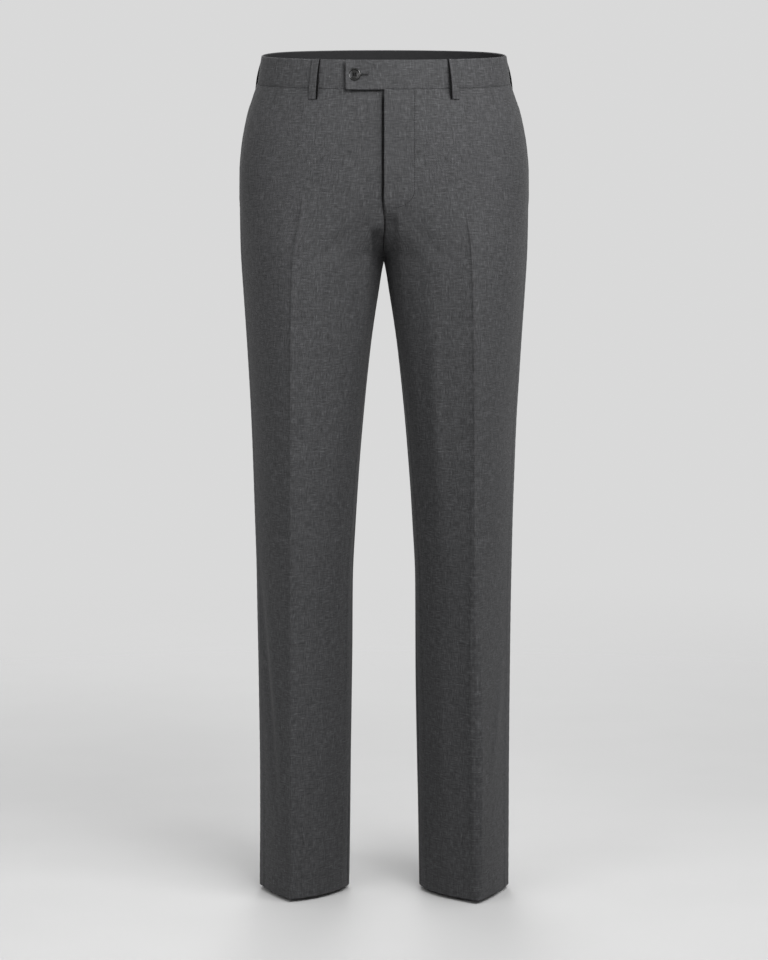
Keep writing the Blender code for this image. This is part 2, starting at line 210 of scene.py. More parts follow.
BODY_TABLE = [
    # height half_width crease front back side_y front_square back_square tilt
    Body(CUT.fork, 177.6, 108.0, -109, 138, 4, 2.75, 2.5, 0.000),
    Body(CUT.fly_end, 178.9, 99.6, -111, 143, 4, 2.75, 2.5, 0.010),
    Body(CUT.hip, 178.5, 95.4, -112, 141, 3, 2.7, 2.5, 0.040),
    Body(930, 176.0, 92.6, -112, 136, 2, 2.6, 2.45, 0.066),
    Body(960, 170.7, 90.0, -111.5, 128, 1, 2.45, 2.35, 0.092),
    Body(985, 164.2, 87.6, -110.5, 119.5, 0, 2.3, 2.25, 0.108),
    Body(CUT.waist_seam, 156.4, 85.3, -108.5, 111, 0, 2.15, 2.15, 0.115),
]
BODY_TOP = Body(CUT.band_top, 151.3, 82.0, -105, 105, 0, 2.15, 2.15, 0.113)


def smooth_step(low: float, high: float, value: Amount) -> Amount:
    """0 below low, 1 above high, and a smooth rise between."""
    t = np.clip((value - low) / (high - low), 0.0, 1.0)
    return t * t * (3 - 2 * t)


def bell(away: Array, width: Amount) -> Array:
    """1 at no distance, falling off smoothly over a width on both sides."""
    return np.exp(-((away / width) ** 2))


def unit(vector: Array) -> Array:
    """The vector at length 1."""
    return vector / np.linalg.norm(vector)


def walked_along(points: Array) -> Array:
    """Length walked along a line of points, or along each of many, from 0 at its start."""
    steps = np.linalg.norm(np.diff(points, axis=-2), axis=-1)
    return np.concatenate([np.zeros(steps.shape[:-1] + (1,)), np.cumsum(steps, axis=-1)], axis=-1)


class SectionTable:
    """Rows of one kind of section, read at any height between them."""

    def __init__(self, rows: Sequence[NamedTuple]) -> None:
        """Prepares the smooth curve of each column.

        Args:
            rows: Sections in rising order of height.
        """
        self.kind = type(rows[0])
        self.columns = np.array(rows, dtype=float).T
        self.slopes = [self.monotone_slopes(self.columns[0], column) for column in self.columns]

    @staticmethod
    def monotone_slopes(x: Array, y: Array) -> Array:
        """Slopes of a smooth curve through points that never overshoots them.

        Args:
            x: Where the points are, rising.
            y: The value at each.

        Returns:
            The slope at each point.
        """
        width = np.diff(x)
        rise = np.diff(y) / width
        slopes = np.zeros(len(y))
        slopes[0], slopes[-1] = rise[0], rise[-1]
        for i in range(1, len(y) - 1):
            if rise[i - 1] * rise[i] > 0:
                before = 2 * width[i] + width[i - 1]
                after = width[i] + 2 * width[i - 1]
                slopes[i] = (before + after) / (before / rise[i - 1] + after / rise[i])
        return slopes

    def at(self, height: float) -> NamedTuple:
        """The section at a height, each column on its own smooth curve.

        Args:
            height: A height in mm, held within the table's.

        Returns:
            A row of the table's own kind.
        """
        x = self.columns[0]
        i = int(np.clip(np.searchsorted(x, height) - 1, 0, len(x) - 2))
        span = x[i + 1] - x[i]
        t = min(max((height - x[i]) / span, 0.0), 1.0)
        past = 3 * t**2 - 2 * t**3
        leave, arrive = (t**3 - 2 * t**2 + t) * span, (t**3 - t**2) * span
        values = []
        for y, m in zip(self.columns, self.slopes):
            values.append((1 - past) * y[i] + leave * m[i] + past * y[i + 1] + arrive * m[i + 1])
        return self.kind(*values)


class Form:
    """The outer surface of the trousers, by side, face, height and station.

    Stations run from 0 at the side seam over 1 at the crease to 2 at the inseam or the
    middle line.
    """

    steps = np.linspace(0, math.pi / 2, 65)

    def __init__(self) -> None:
        """Reads the two tables of sections."""
        self.legs = SectionTable(LEG_TABLE)
        self.bodies = SectionTable(BODY_TABLE)

    def body_section(self, height: float) -> Body:
        """The oval at a height. The waistband is a plain cone above its seam.

        Args:
            height: A height from the fork up.

        Returns:
            The oval's sizes there.
        """
        if height <= CUT.waist_seam:
            return self.bodies.at(height)
        t = (height - CUT.waist_seam) / CUT.band_height
        return Body(*(low + (high - low) * t for low, high in zip(BODY_TABLE[-1], BODY_TOP)))

    def leg_quarters(self, side: Side, face: Face, height: float) -> Pair:
        """A leg's half section as two curves: side seam to crease, crease to inner end.

        Args:
            side: The leg.
            face: Front or back.
            height: A height below the hips.

        Returns:
            The outer and the inner curve, as rows of x and y.
        """
        leg = self.legs.at(height)
        blend = 1 - smooth_step(CUT.fork, CUT.hip, height)
        crease = leg.crease - side.value * CUT.crease_shift * blend
        fold = leg.fold + CUT.outer_fold * (1 - smooth_step(*CUT.outer_fold_fade, height))
        side_turn = leg.side_turn
        if side is Side.LEFT:
            crease += CUT.drift * (1 - smooth_step(*CUT.drift_fade, height))
            rounder = CUT.side_round * smooth_step(*CUT.side_round_from, height)
            side_turn += rounder * (1 - smooth_step(*CUT.side_round_to, height))
        depth = leg.front if face is Face.FRONT else leg.back

        reach = np.cos(self.steps)
        across = crease + (leg.outer - crease) * reach
        along = leg.side_y + (depth - leg.side_y) * self.share_of_depth(reach, side_turn, fold)
        outer = np.stack([across, along], 1)
        span = crease - leg.inner
        reach = np.sin(self.steps * math.asin(min(1.0, crease / span)) / self.steps[-1])
        across = crease - span * reach
        share = self.share_of_depth(reach, leg.inner_turn, leg.fold)
        along = leg.inner_y + (depth - leg.inner_y) * share
        return outer, np.stack([across, along], 1)

    @staticmethod
    def share_of_depth(reach: Array, turn: float, fold: float) -> Array:
        """Share of a leg's depth at a share of the way from its crease."""
        return np.maximum(1 - fold * reach - (1 - fold) * reach**2, 0) ** turn

    def body_quarters(self, face: Face, height: float) -> list[Array]:
        """Half of an oval's front or back as two curves that part at the crease's line.

        Args:
            face: Front or back.
            height: A height from the fork up.

        Returns:
            The outer and the inner curve, as rows of x and y.
        """
        body = self.body_section(height)
        depth, square = (body.front, body.front_square)
        if face is Face.BACK:
            depth, square = (body.back, body.back_square)
        part = math.acos((body.crease / body.half_width) ** (square / 2))
        curves = []
        for start, end in ((0, part), (part, math.pi / 2)):
            angle = start + (end - start) * self.steps / self.steps[-1]
            across = body.half_width * np.abs(np.cos(angle)) ** (2 / square)
            along = body.side_y + (depth - body.side_y) * np.sin(angle) ** (2 / square)
            curves.append(np.stack([across, along], 1))
        return curves

    @staticmethod
    def along_curve(curve: Array, start: float, end: float, fractions: Array) -> Array:
        """Values at fractions of a curve's length, between start mm and end mm from its ends.

        Args:
            curve: Dense points, with x and y first.
            start: Mm left out at the start.
            end: Mm left out at the end.
            fractions: Shares of the length between.

        Returns:
            A row of values for each fraction.
        """
        length = walked_along(curve[:, :2])
        wanted = start + (length[-1] - end - start) * np.asarray(fractions, dtype=float)
        return np.stack([np.interp(wanted, length, column) for column in curve.T], 1)

    def half_curves(self, side: Side, face: Face, height: float) -> Pair:
        """Half a section as two dense curves that meet at the crease.

        Args:
            side: The side.
            face: Front or back.
            height: The height.

        Returns:
            The outer and the inner curve, whose columns are x, y and the outward normal's
            x and y.
        """
        weight = smooth_step(CUT.fork, CUT.hip, height)
        even = self.steps / self.steps[-1]
        legs = self.leg_quarters(side, face, height)
        bodies = self.body_quarters(face, max(height, CUT.fork))
        curves = []
        for leg, body in zip(legs, bodies):
            points = (1 - weight) * self.along_curve(leg, 0, 0, even)
            points = points + weight * self.along_curve(body, 0, 0, even)
            tangents = np.gradient(points, axis=0)
            normals = np.stack([-tangents[:, 1], tangents[:, 0]], 1) * -face.value
            normals /= np.linalg.norm(normals, axis=1, keepdims=True)
            curves.append(np.concatenate([points, normals], 1))
        outer, inner = curves
        outer[0, 2:] = (1, 0)
        outer[-1, 2:] = inner[0, 2:] = unit(outer[-1, 2:] + inner[0, 2:])
        return outer, inner

    def half_section(
        self,
        side: Side,
        face: Face,
        height: float,
        stations: Sequence[float],
        gap: float = CUT.gap / 2,
    ) -> Pair:
        """Points and outward normals of one half of a section, at some stations.

        Args:
            side: The side.
            face: Front or back.
            height: The height.
            stations: Where along the half, from 0 to 2.
            gap: Mm left free at both ends.

        Returns:
            The points and the normals.
        """
        wanted = np.asarray(stations, dtype=float)
        outer, inner = self.half_curves(side, face, height)
        end = gap
        forward = self.legs.at(height).forward if height < CUT.fork else 0.0
        if face is Face.FRONT:
            end += forward
        elif forward > 0:
            # the back goes on round the innermost point as far as the inseam
            wrap = self.half_curves(side, Face.FRONT, height)[1][::-1]
            inner = np.concatenate([inner, wrap[1:]])
            end += np.linalg.norm(np.diff(wrap[:, :2], axis=0), axis=1).sum() - forward
        on_outer = wanted <= 1
        values = np.zeros((len(wanted), 4))
        values[on_outer] = self.along_curve(outer, gap, 0, wanted[on_outer])
        values[~on_outer] = self.along_curve(inner, 0, end, wanted[~on_outer] - 1)
        x, y, across, along = values.T
        tilt = self.body_section(max(height, CUT.fork)).tilt
        points = np.stack([side.value * x, y, height + tilt * y], 1)
        return points, np.stack([side.value * across, along, 0 * x], 1)

    def point(
        self, side: Side, face: Face, height: float, station: float, gap: float = CUT.gap / 2
    ) -> Pair:
        """The point and the normal at one station."""
        points, normals = self.half_section(side, face, height, [station], gap)
        return points[0], normals[0]

    def front_row(self, height: float, across: Sequence[float]) -> Pair:
        """Points and normals of the front at some x, within the creases.

        Args:
            height: The height.
            across: The wanted x, in any order.

        Returns:
            The points and the normals.
        """
        across = np.asarray(across, dtype=float)
        points = np.zeros((len(across), 3))
        normals = np.zeros((len(across), 3))
        stations = np.linspace(2, 1, 41)
        for side in Side:
            mine = across >= 0 if side is Side.LEFT else across < 0
            if mine.any():
                dense = self.half_section(side, Face.FRONT, height, stations, 0)[0]
                reach = side.value * dense[:, 0]
                wanted = np.interp(np.abs(across[mine]), reach, stations)
                points[mine], normals[mine] = self.half_section(side, Face.FRONT, height, wanted, 0)
        return points, normals

    def front_point(self, height: float, across: float) -> Pair:
        """The point and the normal of the front at one x, within the creases."""
        points, normals = self.front_row(height, [across])
        return points[0], normals[0]


FORM = Form()


def lift(across: Amount) -> Amount:
    """How far the left front and the left waistband are raised over what they lap."""
    return CUT.layer * (1 - smooth_step(CUT.lift_full, CUT.lift_end, across))


# Finishes.


class Recipe:
    """Builds the nodes of one material."""

    def __init__(self, name: str) -> None:
        """Starts a material with one Principled shader.

        Args:
            name: The material's name.
        """
        self.material = bpy.data.materials.new(name)
        self.material.use_nodes = True
        self.tree = self.material.node_tree
        self.shader = self.tree.nodes["Principled BSDF"]

    def node(self, kind: str, inputs: dict[Union[int, str], Value], **settings: str) -> Socket:
        """Adds a node.

        Args:
            kind: The node's type.
            inputs: What its inputs take: an output, a number or a colour.
            settings: Its properties by name.

        Returns:
            Its first output.
        """
        node = self.tree.nodes.new(kind)
        for key, value in settings.items():
            setattr(node, key, value)
        for key, value in inputs.items():
            self.feed(node.inputs[key], value)
        return node.outputs[0]

    def feed(self, socket: Socket, value: Value) -> None:
        """Links a socket to an output, or sets its number or colour.

        Args:
            socket: An input of a node.
            value: What it takes.
        """
        if isinstance(value, Socket):
            self.tree.links.new(value, socket)
        else:
            socket.default_value = value

    def maths(self, step: str, first: Value, second: Value = 0.0, third: Value = 0.0) -> Socket:
        """One step of arithmetic on outputs or numbers."""
        return self.node("ShaderNodeMath", {0: first, 1: second, 2: third}, operation=step)

    def mix(self, share: Value, low: Value, high: Value) -> Socket:
        """The first value where share is 0, the second where it is 1."""
        return self.node("ShaderNodeMix", {0: share, 2: low, 3: high}, data_type="FLOAT")

    def noise(
        self, where: Value, scale: float = 1.0, detail: float = 2.0, rough: float = 0.5
    ) -> Socket:
        """Smooth noise around 0.5 at a place, with some finer layers."""
        inputs = {"Vector": where, "Scale": scale, "Detail": detail, "Roughness": rough}
        return self.node("ShaderNodeTexNoise", inputs, noise_dimensions="3D")

    def streaks(
        self, x: Value, x_scale: float, y: Value, y_scale: float, detail: float, rough: float = 0.5
    ) -> Socket:
        """Noise over two outputs, each of them scaled."""
        place = {0: self.maths("MULTIPLY", x, x_scale), 1: self.maths("MULTIPLY", y, y_scale)}
        return self.noise(self.node("ShaderNodeCombineXYZ", place), 1.0, detail, rough)

    def ramp(self, value: Value, *numbers: float, kind: str = "LINEAR") -> Socket:
        """A value from low to high as one from start to end, in that order, and clamped there."""
        inputs = dict(enumerate((value, *numbers)))
        return self.node("ShaderNodeMapRange", inputs, interpolation_type=kind)

    def tinted(self, colour: Colour, tone: Value) -> Socket:
        """A colour times a tone."""
        inputs = {0: colour, "Scale": tone}
        return self.node("ShaderNodeVectorMath", inputs, operation="SCALE")

    def bump(
        self, height: Value, strength: float, distance: float, under: Optional[Value] = None
    ) -> Socket:
        """A normal from a height of some metres, on top of another normal."""
        inputs = {"Strength": strength, "Distance": distance, "Height": height}
        return self.node("ShaderNodeBump", inputs | ({} if under is None else {"Normal": under}))

    def split(self, place: Socket) -> list[Socket]:
        """The parts of a place."""
        return list(self.node("ShaderNodeSeparateXYZ", {0: place}).node.outputs)

    def grain(self) -> list[Socket]:
        """Metres across and along the cloth's grain, from the map that every cloth has."""
        return self.split(self.node("ShaderNodeUVMap", {}, uv_map=GRAIN_MAP))[:2]

    def own_place(self) -> Socket:
        """The object's own coordinates in metres."""
        return self.node("ShaderNodeTexCoord", {}).node.outputs["Object"]

    def surface(self, **values: Value) -> Material:
        """Sets the shader's sockets.

        Args:
            values: What each socket takes, named with _ for a space.

        Returns:
            The finished material.
        """
        for name, value in values.items():
            self.feed(self.shader.inputs[name.replace("_", " ")], value)
        return self.material


@dataclass(frozen=True)
class Worsted:
    """Mid grey worsted in a plain weave, whose yarns differ in shade along their length."""

    name: str = "worsted"
    colour: Colour = (0.0318, 0.0320, 0.0335)
    pitch_mm: float = 0.6
    # how strongly the yarns, the slubs and the soft clouds change the shade
    yarn_tone: float = 2.25
    slub_tone: float = 2.15
    cloud_tone: float = 0.16
    # changes of shade: from yarn to yarn, and per metre along a warp and a weft yarn
    next_yarn: float = 2.37
    warp_run: float = 110.0
    weft_run: float = 105.0
    # slubs per metre across and along the cloth, and patches where one kind leads
    warp_slubs: Span = (520.0, 95.0)
    weft_slubs: Span = (105.0, 560.0)
    patches: float = 85.0
    clouds: Span = (9.0, 5.0)
    # painted shade between the yarns and painted highlight on top of them, and the lightest slub
    yarn_painted_shade: Span = (0.86, 1.06)
    lightest: float = 3.0
    roughness: float = 0.8

    def make(self) -> Material:
        """Builds the cloth's material.

        Returns:
            A material whose yarns and slubs follow the grain map.
        """
        recipe = Recipe(self.name)
        across, along = recipe.grain()
        column = recipe.maths("DIVIDE", across, self.pitch_mm * MM)
        row = recipe.maths("DIVIDE", along, self.pitch_mm * MM)
        warp_id, weft_id = recipe.maths("FLOOR", column), recipe.maths("FLOOR", row)
        warp = recipe.streaks(warp_id, self.next_yarn, along, self.warp_run, 1.0)
        weft = recipe.streaks(across, self.weft_run, weft_id, self.next_yarn, 1.0)
        warp_up = recipe.maths("PINGPONG", recipe.maths("ADD", warp_id, weft_id), 1.0)
        yarn = recipe.mix(warp_up, weft, warp)
        (wide, long), (weft_wide, weft_long) = self.warp_slubs, self.weft_slubs
        warp_slub = recipe.streaks(across, wide, along, long, 2.0, 0.6)
        weft_slub = recipe.streaks(across, weft_wide, along, weft_long, 2.0, 0.6)
        patches = recipe.streaks(across, self.patches, along, self.patches, 1.0)
        slub = recipe.mix(recipe.ramp(patches, 0.40, 0.60, 0.15, 0.85), warp_slub, weft_slub)
        cloud = recipe.streaks(across, self.clouds[0], along, self.clouds[1], 2.0)
        tone = 0.0
        parts = ((yarn, self.yarn_tone), (slub, self.slub_tone), (cloud, self.cloud_tone))
        for part, share in parts:
            tone = recipe.maths("MULTIPLY_ADD", recipe.maths("SUBTRACT", part, 0.5), share, tone)
        tone = recipe.maths("EXPONENT", tone)
        height = self.yarn_height(recipe, column, row, warp_up)
        # painted shade and highlight: the colour is darker where the yarn on top dips at its edges
        # and lighter on its crown
        tone = recipe.maths("MULTIPLY", tone, recipe.ramp(height, 0.0, 1.0, *self.yarn_painted_shade))
        normal = recipe.bump(recipe.maths("ADD", warp_slub, weft_slub), 0.35, 0.00025)
        normal = recipe.bump(height, 0.3, 0.0001, normal)
        return recipe.surface(
            Base_Color=recipe.tinted(self.colour, recipe.maths("MINIMUM", tone, self.lightest)),
            Roughness=self.roughness,
            Specular_IOR_Level=0.2,
            Sheen_Weight=0.04,
            Sheen_Roughness=0.4,
            Normal=normal,
        )

    @staticmethod
    def yarn_height(recipe: Recipe, column: Value, row: Value, warp_up: Value) -> Socket:
        """Height of the yarn on top: round across itself, and dipping where the other crosses it.

        Args:
            recipe: The cloth's recipe.
            column: The warp yarn's number.
            row: The weft yarn's number.
            warp_up: 1 where the warp is on top.

        Returns:
            A height from 0 to 1.
        """
        round_yarns = []
        for count in (row, column):
            turned = recipe.maths("MULTIPLY", count, math.pi)
            round_yarns.append(recipe.maths("ABSOLUTE", recipe.maths("SINE", turned)))
        return recipe.mix(warp_up, *round_yarns)


@dataclass(frozen=True)
class Twill:
    """Charcoal cotton twill of the waistband's facing."""

    name: str = "band_facing"
    colour: Colour = (0.0135, 0.0135, 0.0143)
    rib_mm: float = 0.9
    rib_slope: float = 1.6
    speck: Span = (700.0, 300.0)

    def make(self) -> Material:
        """Builds the facing's material, with diagonal ribs.

        Returns:
            The material.
        """
        recipe = Recipe(self.name)
        across, along = recipe.grain()
        slope = recipe.maths("ADD", across, recipe.maths("MULTIPLY", along, self.rib_slope))
        turned = recipe.maths("MULTIPLY", slope, 2 * math.pi / (self.rib_mm * MM))
        ribs = recipe.maths("SINE", turned)
        speck = recipe.streaks(across, self.speck[0], along, self.speck[1], 2.0)
        tone = recipe.maths("MULTIPLY_ADD", recipe.maths("SUBTRACT", speck, 0.5), 0.5, 1.0)
        # painted shade and highlight: the colour follows the ribs' bump, darker in their hollows
        # and lighter on their crests
        tone = recipe.maths("MULTIPLY_ADD", ribs, 0.10, tone)
        return recipe.surface(
            Base_Color=recipe.tinted(self.colour, tone),
            Roughness=0.85,
            Specular_IOR_Level=0.2,
            Normal=recipe.bump(ribs, 0.3, 0.0001),
        )


@dataclass(frozen=True)
class Horn:
    """Near black polished horn of the button."""

    name: str = "button"
    colour: Colour = (0.006, 0.0059, 0.0057)
    streaks: float = 320.0
    scratches: float = 2600.0
    roughness: Span = (0.13, 0.20)

    def make(self) -> Material:
        """Builds the button's material, faintly streaked as horn is.

        Returns:
            The material.
        """
        recipe = Recipe(self.name)
        place = recipe.own_place()
        streaks = recipe.noise(place, self.streaks, 3.0, 0.6)
        tone = recipe.ramp(streaks, 0.3, 0.7, 0.6, 1.7)
        scratches = recipe.noise(place, self.scratches)
        return recipe.surface(
            Base_Color=recipe.tinted(self.colour, tone),
            Roughness=recipe.ramp(scratches, 0.3, 0.7, *self.roughness),
            Specular_IOR_Level=0.42,
            Normal=recipe.bump(scratches, 0.08, 0.00003),
        )


@dataclass(frozen=True)
class Thread:
    """Sewing thread, plied and matt."""

    name: str
    colour: Colour
    gloss: float
    ply: float = 3200.0

    def make(self) -> Material:
        """Builds the thread's material.

        Returns:
            The material.
        """
        recipe = Recipe(self.name)
        ply = recipe.noise(recipe.own_place(), self.ply)
        tone = recipe.ramp(ply, 0.3, 0.7, 0.7, 1.3)
        return recipe.surface(
            Base_Color=recipe.tinted(self.colour, tone),
            Roughness=0.6,
            Specular_IOR_Level=self.gloss,
            Normal=recipe.bump(ply, 0.4, 0.00008),
        )


@dataclass(frozen=True)
class StudioFloor:
    """Pale floor that thins out into the studio's even surround."""

    name: str = "studio_floor"
    colour: Colour = (0.468, 0.468, 0.468)
    solid_to: float = 0.5
    gone_by: float = 3.2
    # painted shade: the floor's colour is darkest in front and on the left, standing in for less
    # light there, and the metres over which it fades in
    front_painted_shade: float = 0.915
    front_fade: Span = (-0.4, 0.4)
    left_painted_shade: float = 0.96
    left_fade: Span = (-0.2, 0.35)

    def make(self) -> Material:
        """Builds the floor's material: solid near the trousers, and clear far from them.

        Returns:
            The material.
        """
        recipe = Recipe(self.name)
        place = recipe.own_place()
        flat = recipe.node("ShaderNodeVectorMath", {0: place, 1: (1, 1, 0)}, operation="MULTIPLY")
        length = recipe.node("ShaderNodeVectorMath", {0: flat}, operation="LENGTH")
        away = length.node.outputs["Value"]
        alpha = recipe.ramp(away, self.solid_to, self.gone_by, 1.0, 0.0, kind="SMOOTHSTEP")
        tone = recipe.ramp(recipe.noise(place, 6.0, 3.0), 0.3, 0.7, 0.99, 1.01)
        x, y, _ = recipe.split(place)
        # painted shade: the colour is darker towards the front and towards +X
        front = recipe.ramp(y, *self.front_fade, self.front_painted_shade, 1.0)
        left = recipe.ramp(x, *self.left_fade, 1.0, self.left_painted_shade)
        tone = recipe.maths("MULTIPLY", recipe.maths("MULTIPLY", tone, front), left)
        return recipe.surface(
            Base_Color=recipe.tinted(self.colour, tone),
            Roughness=0.9,
            Specular_IOR_Level=0.1,
            Alpha=alpha,
        )


class Finishes:
    """Every material, made once."""

    def __init__(self) -> None:
        """Builds the materials."""
        self.worsted = Worsted().make()
        self.facing = Twill().make()
        self.button = Horn().make()
        self.thread = Thread("sewing_thread", (0.015, 0.015, 0.016), 0.1).make()
        self.buttonhole_thread = Thread("buttonhole_thread", (0.028, 0.028, 0.029), 0.1).make()
        # near-black thread: real thread at the button and the fly's tack, and painted shadow where
        # it overcasts the loops' edges
        self.dark_thread_and_painted_shadow = Thread("overcast_thread", (0.0040, 0.0040, 0.0042), 0.04).make()
        self.floor = StudioFloor().make()


# Meshes.


def to_frame(points: Array) -> Array:
    """Millimetres above the hems as the frame's metres."""
    return (np.asarray(points, dtype=float) - np.array([0, 0, CUT.hold])) * MM


class Skin:
    """The outer surface of a finished piece, found from the front."""

    well_before: float = -400.0

    def __init__(self, piece: Piece) -> None:
        """Sorts the piece's faces for the search.

        Args:
            piece: The finished piece.
        """
        corners = [vertex.co.copy() for vertex in piece.data.vertices]
        faces = [face.vertices[:] for face in piece.data.polygons]
        self.tree = BVHTree.FromPolygons(corners, faces)

    def below(self, point: Array) -> Array:
        """The cloth's own point straight behind or before a point, in mm.

        Args:
            point: A point in mm, near the cloth.

        Returns:
            The point moved along y, or the same point beside the piece.
        """
        start = to_frame(np.array([point[0], self.well_before, point[2]]))
        hit = self.tree.ray_cast(Vector(start), Vector((0, 1, 0)))[0]
        return point if hit is None else np.array([point[0], hit.y / MM, point[2]])


def link_mesh(
    name: str,
    points: Array,
    faces: Sequence[Sequence[int]],
    finish: Material,
    grain: Optional[Array] = None,
) -> Piece:
    """Makes an object of a mesh.

    Args:
        name: The piece's name.
        points: Its points, in mm above the hems.
        faces: Corner indices of each face.
        finish: Its material.
        grain: The grain map's value at each point, in metres.

    Returns:
        The object, smooth shaded and linked to the scene.
    """
    mesh = bpy.data.meshes.new(name)
    mesh.from_pydata(to_frame(points).tolist(), [], [list(face) for face in faces])
    mesh.validate()
    if grain is not None:
        corners = np.zeros(len(mesh.loops), dtype=np.int32)
        mesh.loops.foreach_get("vertex_index", corners)
        layer = mesh.uv_layers.new(name=GRAIN_MAP)
        layer.data.foreach_set("uv", np.asarray(grain, dtype=np.float32)[corners].ravel())
    mesh.materials.append(finish)
    mesh.shade_smooth()
    piece = bpy.data.objects.new(name, mesh)
    bpy.context.scene.collection.objects.link(piece)
    return piece


def grid_faces(rows: int, columns: int, start: int, flip: bool) -> list[tuple[int, ...]]:
    """Quads of a grid whose points are numbered row by row from start.

    Args:
        rows: How many rows.
        columns: How many columns.
        start: The first point's number.
        flip: Whether the faces are turned over.

    Returns:
        Four point numbers for each quad.
    """
    faces = []
    for i in range(rows - 1):
        for j in range(columns - 1):
            a = start + i * columns + j
            quad = (a, a + 1, a + columns + 1, a + columns)
            faces.append(quad[::-1] if flip else quad)
    return faces


# How far the middle of a wall's edge stands out, as a share of the wall's thickness.
EDGE_BULGE = 0.3


def wall_mesh(
    name: str,
    outer: Array,
    inner: Array,
    grain: Array,
    finish: Material,
    flip: bool,
) -> Piece:
    """A closed wall between two grids, with rounded edges.

    Args:
        name: The piece's name.
        outer: Rows by columns of points on the outside.
        inner: The same on the inside.
        grain: Rows by columns of the grain map.
        finish: The material.
        flip: Whether rows and columns run the other way round when seen from outside.

    Returns:
        The piece.
    """
    rows, columns = outer.shape[:2]
    count = rows * columns
    rim = [(0, j) for j in range(columns)]
    rim += [(i, columns - 1) for i in range(1, rows)]
    rim += [(rows - 1, j) for j in reversed(range(columns - 1))]
    rim += [(i, 0) for i in reversed(range(1, rows - 1))]
    middle = []
    for i, j in rim:
        k = min(max(i, 1), rows - 2)
        m = min(max(j, 1), columns - 2)
        away = outer[i, j] - outer[k, m]
        thick = np.linalg.norm(outer[i, j] - inner[i, j])
        middle.append((outer[i, j] + inner[i, j]) / 2 + unit(away) * thick * EDGE_BULGE)
    points = np.concatenate([outer.reshape(-1, 3), inner.reshape(-1, 3), np.array(middle)])
    rim_grain = np.array([grain[i, j] for i, j in rim])
    grain_all = np.concatenate([grain.reshape(-1, 2), grain.reshape(-1, 2), rim_grain])
    faces = grid_faces(rows, columns, 0, flip) + grid_faces(rows, columns, count, not flip)
    for n, (i, j) in enumerate(rim):
        k, m = rim[(n + 1) % len(rim)]
        a, b = i * columns + j, k * columns + m
        c, d = 2 * count + n, 2 * count + (n + 1) % len(rim)
        for quad in ((b, a, c, d), (d, c, a + count, b + count)):
            faces.append(quad[::-1] if flip else quad)
    return link_mesh(name, points, faces, finish, grain_all)


def sweep_mesh(name: str, rings: Array, grain: Array, finish: Material) -> Piece:
    """A body swept through rings of points, each ring a closed loop.

    Args:
        name: The piece's name.
        rings: Rings by points of coordinates.
        grain: Rings by points of the grain map.
        finish: The material.

    Returns:
        The piece, with a cap at both ends and its faces turned outwards.
    """
    count, around = rings.shape[:2]
    faces: list[tuple[int, ...]] = []
    for i in range(count - 1):
        for j in range(around):
            k = (j + 1) % around
            here, after = i * around, (i + 1) * around
            faces.append((here + j, here + k, after + k, after + j))
    faces.append(tuple(reversed(range(around))))
    faces.append(tuple((count - 1) * around + j for j in range(around)))
    flat = rings.reshape(-1, 3)
    volume = 0.0
    for face in faces:
        for second, third in zip(face[1:], face[2:]):
            volume += float(np.dot(flat[face[0]], np.cross(flat[second], flat[third])))
    if volume < 0:
        faces = [tuple(reversed(face)) for face in faces]
    return link_mesh(name, flat, faces, finish, grain.reshape(-1, 2))


def settle(
    piece: Piece,
    node: str = "",
) -> Piece:
    """Rides a piece on the trousers' body and hides the solid that it stands for.

    Args:
        piece: The finished piece.
        node: The solid that it stands for, if any.

    Returns:
        The same piece.
    """
    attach(piece, "root")
    if node:
        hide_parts(node)
    return piece


# Relief of the cloth.


class Fold(NamedTuple):
    """A soft ridge or trough on a panel. Across counts from the crease, positive inwards."""

    side: Side
    face: Face
    across: float
    height: float
    to_across: float
    to_height: float
    width: float
    depth: float  # a ridge if positive, a trough if negative


# Short names for the tables.
L, R = Side.LEFT, Side.RIGHT
F, B = Face.FRONT, Face.BACK

FOLD_TABLE = [
    # side face across height to_across to_height width depth
    # drag from the fork
    Fold(R, F, 96, 850, 40, 800, 13, -1.6),
    Fold(R, F, 92, 828, 30, 762, 12, 1.4),
    Fold(L, F, 78, 850, 36, 802, 12, -1.4),
    Fold(L, F, 80, 822, 34, 770, 11, 1.1),
    # inner thighs
    Fold(L, F, 52, 775, 46, 420, 12, 3.4),
    Fold(R, F, 52, 740, 48, 500, 12, -1.8),
    # long soft waves down the legs
    Fold(R, F, -54, 400, -10, 120, 12, 1.2),
    Fold(R, F, -80, 400, -32, 110, 11, -2.8),
    Fold(R, F, -30, 300, -6, 90, 10, -1.2),
    Fold(L, F, -68, 300, -30, 140, 10, 1.0),
    Fold(L, F, 50, 300, 44, 90, 14, 1.6),
    # seat and back of the thighs
    Fold(R, B, 60, 846, 10, 760, 16, -1.5),
    Fold(L, B, 62, 842, 14, 770, 15, -1.3),
    Fold(R, B, 66, 812, 6, 700, 15, 1.3),
    Fold(L, B, 64, 806, 10, 712, 14, 1.2),
    Fold(R, B, -40, 520, -12, 380, 14, -1.0),
    Fold(L, B, -36, 560, -10, 410, 14, -1.0),
    Fold(R, B, 30, 430, 46, 280, 13, 0.9),
    Fold(L, B, 34, 450, 44, 300, 13, 0.9),
    Fold(R, B, -30, 240, -18, 120, 10, 0.8),
    Fold(L, B, -32, 260, -20, 130, 10, 0.7),
]


class Pressed(NamedTuple):
    """A pressed crease at a height: how far it stands out, and how wide it is on both sides."""

    height: float
    sharp: float
    rise: float
    inner: float
    outer: float
    steep: float = 0.0


